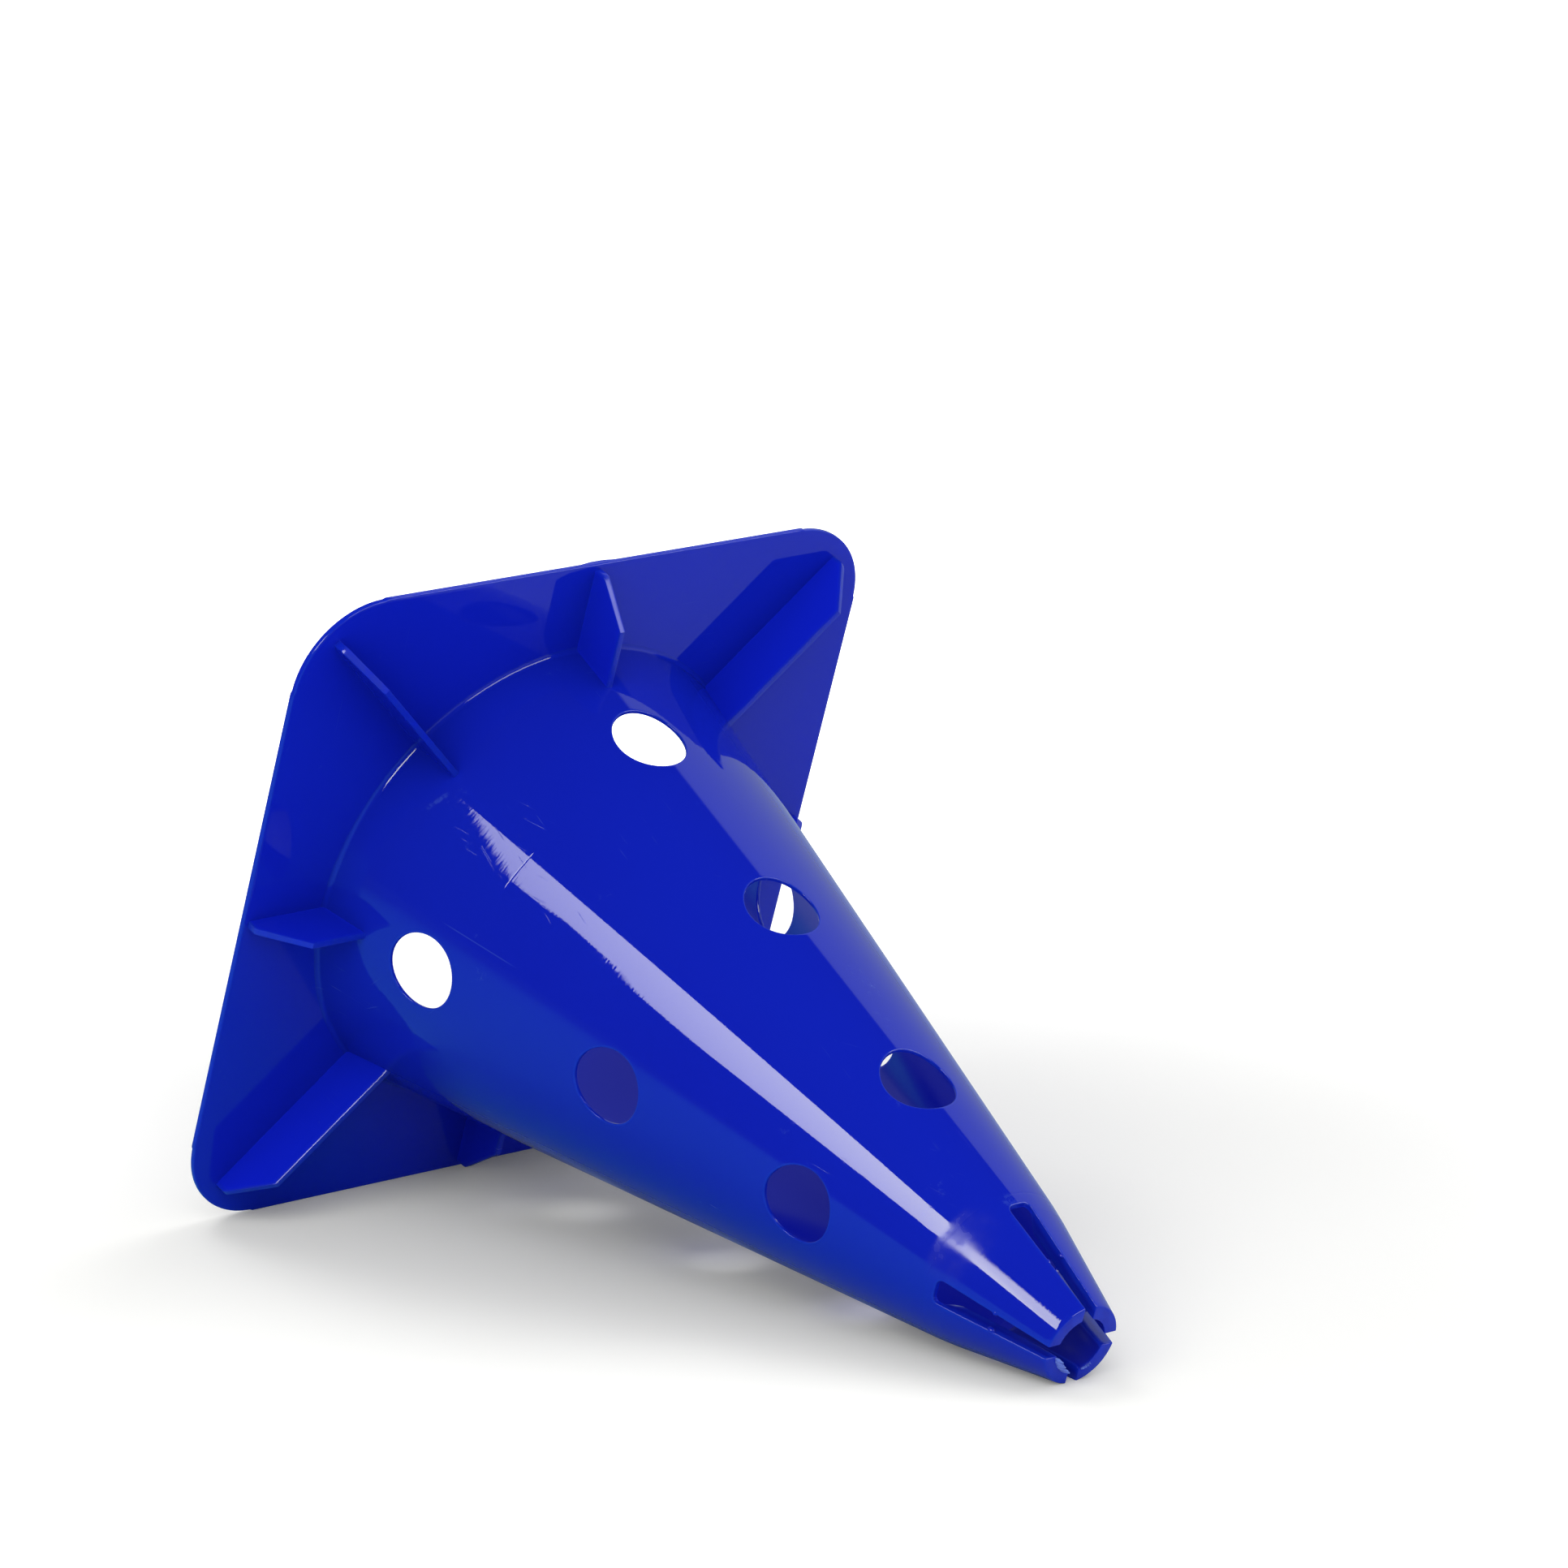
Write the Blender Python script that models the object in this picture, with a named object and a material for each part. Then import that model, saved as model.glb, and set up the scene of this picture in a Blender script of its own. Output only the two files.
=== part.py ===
"""Training cone with a square foot plate, lying on its side.

The real cone is one injection moulding in glossy polyethylene: a thin square
plate, a hollow cone with three rows of pole holes, eight stiffening ribs and a
tip that four slits divide into sprung gripping fingers. Each moulded feature is
a solid of its own here, and the fingers are the pieces that move.

Everything is modelled upright, in metres, with +Z along the cone's axis and the
underside of the plate at zero. One empty then tips the cone over on its +X side,
so that it rests on an edge of the plate and on two fingers.
"""

import math

import bmesh
import bpy
from mathutils import Matrix, Vector

# Foot plate
PLATE_SIDE = 0.2400
PLATE_THICKNESS = 0.0020
PLATE_CORNER_RADIUS = 0.0315
PLATE_EDGE_ROUND = 0.0004

# Cone wall, whose radii are outside ones and whose thicknesses are measured level
PLATE_MARGIN = 0.0330
BASE_FILLET = 0.0018
FILLET_TOE = 0.0003
SHOULDER_RADIUS = 0.0277
SHOULDER_BLEND = 0.0035
WALL_THICKNESS = 0.0013
COLLAR_THICKNESS = 0.0022

# Gripping fingers on the collar above the shoulder, and the slits between them
TIP_HEIGHT = 0.3040
COLLAR_LENGTH = 0.0435
TIP_RADIUS = 0.0145
GRIP_RADIUS = 0.0096
FINGER_THICKNESS = 0.0063
FINGER_NECK = 0.0055
TIP_EDGE_ROUND = 0.0008
SLIT_MARGIN = 0.0010
SLIT_ROOT_WIDTH = 0.0084
SLIT_TIP_WIDTH = 0.0044
SLIT_END_RADIUS = 0.0020
SLIT_NECK = 0.0030

# Holes for poles, in rows up the wall and in columns above the sides of the plate
HOLE_DIAMETER = 0.0260
FIRST_HOLE_HEIGHT = 0.0450
LAST_HOLE_MARGIN = 0.0555
HOLE_ROWS = 3

# Ribs between the plate and the cone
RIB_HEIGHT = 0.0185
RIB_CHAMFER = 0.0140
RIB_ROOT_THICKNESS = 0.0026
RIB_CREST_THICKNESS = 0.0022
RIB_EDGE_ROUND = 0.0004
CORNER_RIB_MARGIN = 0.0062
SIDE_RIB_MARGIN = 0.0020

# Clearance between neighbouring features, and how far a cutter runs past its cut
SEAM = 0.0003
CUT_OVERRUN = 0.0050

# Facets
SIDES = 4
ROUND_STEPS = 96
HOLE_STEPS = 32
CORNER_STEPS = 10
FILLET_STEPS = 4
BLEND_STEPS = 4
EDGE_STEPS = 3
PLATE_EDGE_STEPS = 2
RIB_EDGE_STEPS = 1
SMOOTH_ANGLE = math.radians(30)

# Plastic colour, as linear red, green and blue
ULTRAMARINE = (0.0040, 0.0130, 0.4850, 1.0)
GLOSS_ROUGHNESS = 0.22

# Places worked out from the sizes above
QUARTER_TURN = math.tau / SIDES
HALF_SIDE = PLATE_SIDE / 2
CORNER_CENTRE = HALF_SIDE - PLATE_CORNER_RADIUS
CORNER_REACH = CORNER_CENTRE * math.sqrt(2) + PLATE_CORNER_RADIUS
BASE_RADIUS = HALF_SIDE - PLATE_MARGIN
SHOULDER_HEIGHT = TIP_HEIGHT - COLLAR_LENGTH
HOLE_RADIUS = HOLE_DIAMETER / 2
HOLE_PITCH = (SHOULDER_HEIGHT - LAST_HOLE_MARGIN - FIRST_HOLE_HEIGHT) / (HOLE_ROWS - 1)
RIB_CREST = PLATE_THICKNESS + RIB_HEIGHT
SLIT_ROOT = SHOULDER_HEIGHT + SLIT_MARGIN
SLIT_LENGTH = TIP_HEIGHT - SLIT_ROOT
COLLAR_SEAT = SLIT_ROOT + SLIT_NECK
FINGER_ROOT = COLLAR_SEAT + SEAM
LOWER_SLOPE = (SHOULDER_RADIUS - BASE_RADIUS) / (SHOULDER_HEIGHT - PLATE_THICKNESS)
UPPER_SLOPE = (TIP_RADIUS - SHOULDER_RADIUS) / (TIP_HEIGHT - SHOULDER_HEIGHT)


def clear_scene():
    for old in list(bpy.data.objects):
        bpy.data.objects.remove(old, do_unlink=True)


# Shared modelling helpers

def glossy_plastic(name):
    """Return the blue plastic of one piece."""
    material = bpy.data.materials.new(name)
    material.use_nodes = True
    shader = material.node_tree.nodes["Principled BSDF"]
    shader.inputs["Base Color"].default_value = ULTRAMARINE
    shader.inputs["Roughness"].default_value = GLOSS_ROUGHNESS
    shader.inputs["Metallic"].default_value = 0.0
    material.diffuse_color = ULTRAMARINE
    return material


def add_piece(name, bm, parent):
    """Turn a bmesh into a named, smoothly shaded piece under the parent."""
    bmesh.ops.recalc_face_normals(bm, faces=bm.faces)
    mesh = bpy.data.meshes.new(name)
    bm.to_mesh(mesh)
    bm.free()
    mesh.shade_smooth()
    mesh.set_sharp_from_angle(angle=SMOOTH_ANGLE)
    mesh.materials.append(glossy_plastic(name + "_plastic"))
    piece = bpy.data.objects.new(name, mesh)
    bpy.context.collection.objects.link(piece)
    piece.parent = parent
    return piece


def add_cutter(name, bm, parent):
    """Turn a bmesh into a hidden cutting tool."""
    bmesh.ops.recalc_face_normals(bm, faces=bm.faces)
    mesh = bpy.data.meshes.new(name)
    bm.to_mesh(mesh)
    bm.free()
    cutter = bpy.data.objects.new(name, mesh)
    bpy.context.collection.objects.link(cutter)
    cutter.parent = parent
    cutter.hide_render = True
    cutter.display_type = "WIRE"
    return cutter


def cut(piece, cutter):
    """Take the cutter out of the piece."""
    boolean = piece.modifiers.new("cut_" + cutter.name, "BOOLEAN")
    boolean.operation = "DIFFERENCE"
    boolean.object = cutter


def turn_profile(profile, sweep, steps):
    """Spin a closed outline of radius and height points about the cone's axis."""
    whole = math.isclose(sweep, math.tau)
    bm = bmesh.new()
    ring = [bm.verts.new((radius, 0, height)) for radius, height in profile]
    edges = [bm.edges.new(pair) for pair in zip(ring, ring[1:] + ring[:1])]
    section = [] if whole else [bm.faces.new(ring)]
    bmesh.ops.spin(
        bm,
        geom=ring + edges + section,
        cent=(0, 0, 0),
        axis=(0, 0, 1),
        angle=sweep,
        steps=steps,
        use_merge=whole,
    )
    return bm


def prism(bm, outline, low, high, place):
    """Add a prism to bm: an outline of across and height points, run from low to high along X."""
    near = [bm.verts.new(place @ Vector((low, across, height))) for across, height in outline]
    far = [bm.verts.new(place @ Vector((high, across, height))) for across, height in outline]
    bm.faces.new(near)
    bm.faces.new(reversed(far))
    count = len(outline)
    for i in range(count):
        after = (i + 1) % count
        bm.faces.new((near[after], near[i], far[i], far[after]))


def arc(centre, radius, start, end, steps):
    """Return points along an arc between two angles, both ends included."""
    points = []
    for i in range(steps + 1):
        angle = start + (end - start) * i / steps
        points.append((centre[0] + radius * math.cos(angle), centre[1] + radius * math.sin(angle)))
    return points


def quarter(index):
    """Return the turn about the axis that carries the first copy to this side or corner."""
    return Matrix.Rotation(index * QUARTER_TURN, 4, "Z")


# Shape of the cone's wall

def outer_radius(height):
    """Outside radius: two straight tapers with a short curved blend at the shoulder."""
    rise = height - SHOULDER_HEIGHT
    if rise >= SHOULDER_BLEND:
        return SHOULDER_RADIUS + UPPER_SLOPE * rise
    radius = SHOULDER_RADIUS + LOWER_SLOPE * rise
    if rise > -SHOULDER_BLEND:
        bend = rise + SHOULDER_BLEND
        radius += (UPPER_SLOPE - LOWER_SLOPE) * bend * bend / (4 * SHOULDER_BLEND)
    return radius


def inner_radius(height):
    """Inside radius: the wall thickens across the shoulder's blend to the collar's thickness."""
    share = (height - SHOULDER_HEIGHT + SHOULDER_BLEND) / (2 * SHOULDER_BLEND)
    thicker = (COLLAR_THICKNESS - WALL_THICKNESS) * min(max(share, 0), 1)
    return outer_radius(height) - WALL_THICKNESS - thicker


def fillet_profile():
    """Fillet from the plate up to the wall, started where it is one toe's thickness high."""
    lean = math.atan(-LOWER_SLOPE)
    toe = math.asin((BASE_FILLET - FILLET_TOE) / BASE_FILLET)
    height = PLATE_THICKNESS + BASE_FILLET
    centre = (outer_radius(height) + BASE_FILLET / math.cos(lean), height)
    return arc(centre, BASE_FILLET, math.pi + toe, math.pi + lean, FILLET_STEPS)


def blend_heights():
    """Heights across the curved blend at the shoulder."""
    low = SHOULDER_HEIGHT - SHOULDER_BLEND
    return [low + 2 * SHOULDER_BLEND * i / BLEND_STEPS for i in range(BLEND_STEPS + 1)]


# Foot plate

def build_base_plate(parent):
    """Rounded square plate with the mouth of the cone cut through it."""
    outline = []
    for corner in range(SIDES):
        start = corner * QUARTER_TURN
        middle = start + QUARTER_TURN / 2
        centre = (
            math.copysign(CORNER_CENTRE, math.cos(middle)),
            math.copysign(CORNER_CENTRE, math.sin(middle)),
        )
        outline += arc(centre, PLATE_CORNER_RADIUS, start, start + QUARTER_TURN, CORNER_STEPS)
    bm = bmesh.new()
    face = bm.faces.new([bm.verts.new((x, y, 0)) for x, y in outline])
    raised = bmesh.ops.extrude_face_region(bm, geom=[face])["geom"]
    top = [item for item in raised if isinstance(item, bmesh.types.BMVert)]
    bmesh.ops.translate(bm, verts=top, vec=(0, 0, PLATE_THICKNESS))
    rims = [edge for edge in bm.edges if math.isclose(edge.verts[0].co.z, edge.verts[1].co.z)]
    bmesh.ops.bevel(
        bm,
        geom=rims,
        offset=PLATE_EDGE_ROUND,
        segments=PLATE_EDGE_STEPS,
        profile=0.5,
        affect="EDGES",
    )
    plate = add_piece("base_plate", bm, parent)

    mouth = bmesh.new()
    bmesh.ops.create_cone(
        mouth,
        cap_ends=True,
        segments=ROUND_STEPS,
        radius1=inner_radius(PLATE_THICKNESS),
        radius2=inner_radius(PLATE_THICKNESS),
        depth=2 * CUT_OVERRUN,
    )
    cut(plate, add_cutter("mouth_cutter", mouth, parent))
    return plate


# Cone body

def hole_cutter(parent):
    """Punches for the pole holes, level and square to the cone's axis."""
    bm = bmesh.new()
    along = Matrix.Rotation(math.pi / 2, 4, "Y")
    start = HOLE_RADIUS + CUT_OVERRUN
    for row in range(HOLE_ROWS):
        height = FIRST_HOLE_HEIGHT + row * HOLE_PITCH
        end = outer_radius(height - HOLE_RADIUS) + CUT_OVERRUN
        middle = Matrix.Translation(((start + end) / 2, 0, height))
        for column in range(SIDES):
            bmesh.ops.create_cone(
                bm,
                cap_ends=True,
                segments=HOLE_STEPS,
                radius1=HOLE_RADIUS,
                radius2=HOLE_RADIUS,
                depth=end - start,
                matrix=quarter(column) @ middle @ along,
            )
    return add_cutter("hole_cutter", bm, parent)


def slit_cutter(parent):
    """Tapered slots with rounded roots, one above each side of the plate."""
    half_root = SLIT_ROOT_WIDTH / 2
    half_tip = SLIT_TIP_WIDTH / 2
    top = TIP_HEIGHT + CUT_OVERRUN
    half_top = half_root + (half_tip - half_root) * (top - SLIT_ROOT) / SLIT_LENGTH
    corner = (half_root - SLIT_END_RADIUS, SLIT_ROOT + SLIT_END_RADIUS)
    right = arc(corner, SLIT_END_RADIUS, -math.pi / 2, 0, EDGE_STEPS) + [(half_top, top)]
    left = [(-across, height) for across, height in reversed(right)]
    start = (GRIP_RADIUS + half_root) / 2
    end = outer_radius(SLIT_ROOT) + CUT_OVERRUN
    bm = bmesh.new()
    for side in range(SIDES):
        prism(bm, right + left, start, end, quarter(side))
    return add_cutter("slit_cutter", bm, parent)


def build_cone_body(parent, slits):
    """Hollow cone from the plate to the roots of the fingers."""
    foot = PLATE_THICKNESS + SEAM
    fillet = fillet_profile()
    outside = [(fillet[0][0], foot)]
    outside += fillet
    outside += [(outer_radius(height), height) for height in blend_heights()]
    outside += [(outer_radius(COLLAR_SEAT), COLLAR_SEAT)]
    inside = [(inner_radius(COLLAR_SEAT), COLLAR_SEAT)]
    inside += [(inner_radius(height), height) for height in reversed(blend_heights())]
    inside += [(inner_radius(foot), foot)]
    body = add_piece("cone_body", turn_profile(outside + inside, math.tau, ROUND_STEPS), parent)
    cut(body, hole_cutter(parent))
    cut(body, slits)
    return body


# Ribs

def build_rib(name, reach, turn, parent):
    """Upright web with a chamfered outer end, thinner at its crest, fitted to the cone's wall."""
    foot = PLATE_THICKNESS + SEAM
    fillet = fillet_profile()
    fillet_top = fillet[-1][1]
    outline = [
        (fillet[0][0] + SEAM, foot),
        (reach, foot),
        (reach, RIB_CREST - RIB_CHAMFER),
        (reach - RIB_CHAMFER, RIB_CREST),
        (outer_radius(RIB_CREST) + SEAM, RIB_CREST),
        (outer_radius(fillet_top) + SEAM, fillet_top),
    ]
    bm = bmesh.new()
    flanks = []
    for side in (-1, 1):
        flank = []
        for radius, height in outline:
            share = (height - foot) / (RIB_CREST - foot)
            thickness = RIB_ROOT_THICKNESS + (RIB_CREST_THICKNESS - RIB_ROOT_THICKNESS) * share
            flank.append(bm.verts.new((radius, side * thickness / 2, height)))
        bm.faces.new(flank)
        flanks.append(flank)
    near, far = flanks
    for i in range(len(outline)):
        after = (i + 1) % len(outline)
        bm.faces.new((near[i], near[after], far[after], far[i]))
    rib = add_piece(name, bm, parent)
    rib.rotation_euler.z = turn
    bevel = rib.modifiers.new("edge_round", "BEVEL")
    bevel.width = RIB_EDGE_ROUND
    bevel.segments = RIB_EDGE_STEPS
    bevel.limit_method = "ANGLE"
    return rib


def build_ribs(parent):
    """Short ribs to the middle of each side and long ribs to each corner."""
    ribs = []
    side_reach = HALF_SIDE - SIDE_RIB_MARGIN
    corner_reach = CORNER_REACH - CORNER_RIB_MARGIN
    for index, place in enumerate(("lower", "far", "upper", "near")):
        turn = index * QUARTER_TURN
        ribs.append(build_rib("side_rib_" + place, side_reach, turn, parent))
    for index, place in enumerate(("lower_far", "upper_far", "upper_near", "lower_near")):
        turn = (index + 0.5) * QUARTER_TURN
        ribs.append(build_rib("corner_rib_" + place, corner_reach, turn, parent))
    return ribs


# Gripping fingers

def finger_profile():
    """Section of a finger: thin at its root, where it springs, then thick up to a rounded end."""
    heel = FINGER_ROOT + FINGER_NECK
    outer_centre = (outer_radius(TIP_HEIGHT) - TIP_EDGE_ROUND, TIP_HEIGHT - TIP_EDGE_ROUND)
    inner_centre = (GRIP_RADIUS + TIP_EDGE_ROUND, TIP_HEIGHT - TIP_EDGE_ROUND)
    profile = [(inner_radius(FINGER_ROOT), FINGER_ROOT), (outer_radius(FINGER_ROOT), FINGER_ROOT)]
    profile += arc(outer_centre, TIP_EDGE_ROUND, 0, math.pi / 2, EDGE_STEPS)
    profile += arc(inner_centre, TIP_EDGE_ROUND, math.pi / 2, math.pi, EDGE_STEPS)
    profile += [(outer_radius(heel) - FINGER_THICKNESS, heel)]
    return profile


def build_fingers(parent, slits):
    """Four fingers, each with its origin where it hinges: on the wall's outside, at its root."""
    hinge = Matrix.Rotation(QUARTER_TURN / 2, 4, "Z") @ Vector(
        (outer_radius(COLLAR_SEAT), 0, COLLAR_SEAT)
    )
    fingers = []
    for index, place in enumerate(("lower_far", "upper_far", "upper_near", "lower_near")):
        bm = turn_profile(finger_profile(), QUARTER_TURN, ROUND_STEPS // SIDES)
        bmesh.ops.translate(bm, verts=bm.verts, vec=-hinge)
        finger = add_piece("finger_" + place, bm, parent)
        finger.location = quarter(index) @ hinge
        finger.rotation_euler.z = index * QUARTER_TURN
        cut(finger, slits)
        fingers.append(finger)
    return fingers


# Lying pose

def lean_angle():
    """Slope of the axis when the plate's edge and the slit corners of two fingers touch the ground."""
    touch = TIP_HEIGHT - TIP_EDGE_ROUND
    half_slit = SLIT_TIP_WIDTH / 2
    reach = math.sqrt(outer_radius(touch) ** 2 - half_slit ** 2)
    return math.atan((HALF_SIDE - reach) / (touch - PLATE_THICKNESS))


def box_of(pieces):
    """Lowest and highest corners of the finished pieces in world space."""
    graph = bpy.context.evaluated_depsgraph_get()
    points = []
    for piece in pieces:
        shape = piece.evaluated_get(graph)
        points += [shape.matrix_world @ vertex.co for vertex in shape.to_mesh().vertices]
        shape.to_mesh_clear()
    low = Vector(min(point[axis] for point in points) for axis in range(3))
    high = Vector(max(point[axis] for point in points) for axis in range(3))
    return low, high


def stand_over_origin(frame, pieces):
    """Move the cone so that it rests on zero, with the origin under the middle of its box."""
    bpy.context.view_layer.update()
    low, high = box_of(pieces)
    frame.location -= Vector(((low.x + high.x) / 2, (low.y + high.y) / 2, low.z))
    bpy.context.view_layer.update()


def build():
    clear_scene()
    frame = bpy.data.objects.new("cone_on_its_side", None)
    bpy.context.collection.objects.link(frame)
    frame.rotation_euler.y = math.pi / 2 + lean_angle()
    slits = slit_cutter(frame)
    pieces = [build_base_plate(frame), build_cone_body(frame, slits)]
    pieces += build_ribs(frame)
    pieces += build_fingers(frame, slits)
    stand_over_origin(frame, pieces)


build()
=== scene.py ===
import math

import bmesh
import bpy
import numpy as np
from mathutils import Euler, Matrix, Vector


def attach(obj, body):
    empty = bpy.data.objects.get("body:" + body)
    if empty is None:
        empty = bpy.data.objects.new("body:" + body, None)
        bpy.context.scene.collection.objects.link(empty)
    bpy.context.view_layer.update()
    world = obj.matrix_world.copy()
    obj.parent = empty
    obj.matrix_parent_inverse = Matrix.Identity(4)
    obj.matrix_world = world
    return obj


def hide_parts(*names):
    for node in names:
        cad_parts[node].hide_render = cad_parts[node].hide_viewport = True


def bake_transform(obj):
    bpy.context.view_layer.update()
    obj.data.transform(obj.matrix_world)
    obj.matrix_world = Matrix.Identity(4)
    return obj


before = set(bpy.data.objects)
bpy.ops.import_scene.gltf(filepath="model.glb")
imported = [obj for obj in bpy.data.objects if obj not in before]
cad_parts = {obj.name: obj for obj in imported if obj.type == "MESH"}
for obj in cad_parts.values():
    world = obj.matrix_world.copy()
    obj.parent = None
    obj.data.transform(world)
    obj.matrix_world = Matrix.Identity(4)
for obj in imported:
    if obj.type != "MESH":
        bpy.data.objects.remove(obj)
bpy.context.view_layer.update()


# Foot plate. A thin square of moulded polyethylene with rounded corners. Its straight
# sides stand a little prouder than the corners, its edges are just broken, and one
# side's underside swells slightly at the middle, where the mould was filled.

QUARTER = math.pi / 2
LEAN = math.radians(19.290438)
AXIS_FOOT = Vector((-0.1259591, 0.0, 0.1137913))
LYING = Matrix.Translation(AXIS_FOOT) @ Matrix.Rotation(QUARTER + LEAN, 4, "Y")

PLATE_HALF = 0.1200
PLATE_THICK = 0.0020
PLATE_CORNER = 0.0315
CORNER_STEP = 0.00045
STEP_RUN = 0.0009
PLATE_EDGE = 0.00045
EDGE_INSETS = (0.0030, 0.0014)
RIM_WIDTH = 0.0012
MOUTH_RADIUS = 0.0857
GATE_SWELL = 0.00075
GATE_MIDDLE = 0.0005
GATE_HALF_WIDTH = 0.0055
GATE_DEPTH = 0.0090
SIDE_STEP = 0.0022
ARC_STEP = 0.0011
TOP_RINGS = 14


def mesh_piece(name, points, faces, rim=None):
    """A piece of points and faces; rim says how near each point lies to a moulded edge."""
    mesh = bpy.data.meshes.new(name)
    mesh.from_pydata([tuple(p) for p in points], [], faces)
    if rim is not None:
        mark = mesh.attributes.new("rim", "FLOAT", "POINT")
        mark.data.foreach_set("value", np.asarray(rim, dtype=np.float32))
    piece = bpy.data.objects.new(name, mesh)
    bpy.context.collection.objects.link(piece)
    return piece


def smooth(mesh, sharp_degrees):
    mesh.shade_smooth()
    mesh.set_sharp_from_angle(angle=math.radians(sharp_degrees))


def face_outwards(mesh, sharp_degrees, merge=0.00001):
    """Merges doubles, turns every face outwards and shades the mesh smooth but for sharp edges."""
    bm = bmesh.new()
    bm.from_mesh(mesh)
    bmesh.ops.remove_doubles(bm, verts=bm.verts, dist=merge)
    bmesh.ops.dissolve_degenerate(bm, edges=bm.edges, dist=merge / 10)
    bmesh.ops.recalc_face_normals(bm, faces=bm.faces)
    bm.to_mesh(mesh)
    bm.free()
    smooth(mesh, sharp_degrees)


def ease(value):
    """Smooth step from 0 to 1."""
    v = min(max(value, 0.0), 1.0)
    return v * v * (3 - 2 * v)


def plate_outline():
    """Points round the plate with their outward directions: arcs at the corners and straight sides."""
    points = []
    centre = PLATE_HALF - PLATE_CORNER
    arc_steps = int(PLATE_CORNER * QUARTER / ARC_STEP)
    for corner in range(4):
        turn = corner * QUARTER
        middle = Matrix.Rotation(turn, 2) @ Vector((centre, centre))
        for i in range(arc_steps + 1):
            angle = turn + QUARTER * i / arc_steps
            out = Vector((math.cos(angle), math.sin(angle)))
            ends = min(i, arc_steps - i) * PLATE_CORNER * QUARTER / arc_steps
            reach = PLATE_CORNER - CORNER_STEP * ease(ends / STEP_RUN)
            points.append((middle + reach * out, out))
        start = middle + PLATE_CORNER * out
        length = 2 * centre
        side_steps = int(length / SIDE_STEP)
        along = Vector((-out.y, out.x))
        for i in range(1, side_steps):
            points.append((start + along * (length * i / side_steps), out))
    return points


def build_plate():
    section = [(inset, 0.0) for inset in EDGE_INSETS]
    for i in range(5):
        angle = -QUARTER + QUARTER * i / 4
        section.append((PLATE_EDGE * (1 - math.cos(angle)), PLATE_EDGE * (1 + math.sin(angle))))
    section += [(inset, PLATE_THICK - height) for inset, height in reversed(section)]
    points = []
    rim = []
    outline = plate_outline()
    rings = len(section) + 2 * TOP_RINGS
    for spot, out in outline:
        angle = math.atan2(spot.y, spot.x)
        mouth = MOUTH_RADIUS * Vector((math.cos(angle), math.sin(angle)))
        deep = spot - section[0][0] * out
        flat = [mouth.lerp(deep, k / TOP_RINGS) for k in range(TOP_RINGS)]
        column = [(place, 0.0, 0.0) for place in flat]
        for inset, height in section:
            column.append((spot - inset * out, height, 1.0 - min(inset / RIM_WIDTH, 1.0)))
        column += [(place, PLATE_THICK, 0.0) for place in reversed(flat)]
        for place, height, near in column:
            swell = 0.0
            if place.x < 0:
                across = math.exp(-((place.y - GATE_MIDDLE) / GATE_HALF_WIDTH) ** 4)
                inwards = ease(1 - (PLATE_HALF + place.x) / GATE_DEPTH)
                swell = GATE_SWELL * across * inwards * (1 - height / PLATE_THICK)
            points.append(Vector((place.x, place.y, height - swell)))
            rim.append(near)
    faces = []
    count = len(outline)
    for i in range(count):
        for k in range(rings):
            a, b = i * rings + k, i * rings + (k + 1) % rings
            c, d = ((i + 1) % count) * rings + (k + 1) % rings, ((i + 1) % count) * rings + k
            faces.append((a, b, c, d))
    plate = mesh_piece("foot_plate", points, faces, rim)
    plate.data.transform(LYING)
    face_outwards(plate.data, 50)
    return plate


foot_plate = build_plate()


# The plastic. Ultramarine polyethylene, glossy from a polished mould, with the faint
# waviness of a thin moulding, light handling scratches, paler edges that are partly rubbed
# wear and partly a painted edge highlight, and dull patches where it has been knocked. Deep
# inside faces carry painted shade and a faint painted glow, and the plate and ribs a painted
# brightening of their blue. Its effects are node groups used by every piece.

DEEP_BLUE = (0.0046, 0.0142, 0.488, 1.0)
PALE_BLUE = (0.0052, 0.0240, 0.520, 1.0)
SCUFF_BLUE = (0.0550, 0.1120, 0.570, 1.0)
# A darker blue for the inner skin and the deep parts of hole and slit faces: painted shade.
INSIDE_PAINTED_SHADE_BLUE = (0.0046, 0.0100, 0.350, 1.0)
# A faint blue glow on the deep inside faces: a painted glow that stands in for light passing through the thin
# wall.
PAINTED_GLOW_BLUE = (0.0000, 0.0015, 0.125, 1.0)
CAST_BLUE = (0.0300, 0.0330, 0.140, 1.0)
BLACK = (0.0, 0.0, 0.0, 1.0)
INSIDE_DEPTH = (0.0008, 0.0012)
POLISH = 0.025
INSIDE_DULLS = 0.15
SCUFFS_DULL = 0.25
RUBBING_DULLS = 0.28
RUBBED_LINES = 0.014
SCRATCH_DEPTH = 0.012
CREASE_DEPTH = 0.040
CLOUDS_SHOW = 0.25
SCUFFS_SHOW = 0.35
BUMP_UNIT = 0.001
ORIGIN = (0.0, 0.0, 0.0)
WAVE_SCALE = 14.0
PEEL_SCALE = 900.0
TURNING_STRETCH = (4.0, 4.0, 1100.0)
HAIR_RUNS = (
    ((0.3, 0.9, 0.2), (30.0, 2600.0, 60.0)),
    ((1.2, 0.2, 1.9), (2400.0, 40.0, 50.0)),
)
HAIRS = (0.73, 0.78)
PATCH_SCALE, PATCHES = 32.0, (0.56, 0.70)
GRAIN_NOISE, GRAINS = (420.0, 4.0, 0.7), (0.55, 0.75)
SPOT_SCALE, SPOTS = 55.0, (0.66, 0.74)
EDGE_NOISE, EDGE_BREAKS = (180.0, 3.0), (0.25, 0.65, 0.5, 1.0)
EDGE_MARKS = (0.15, 0.95)
CLOUD_NOISE, CLOUDS = (9.0, 3.0), (0.2, 0.8)
SOCKETS = {float: "NodeSocketFloat", int: "NodeSocketInt", tuple: "NodeSocketVector"}


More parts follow.
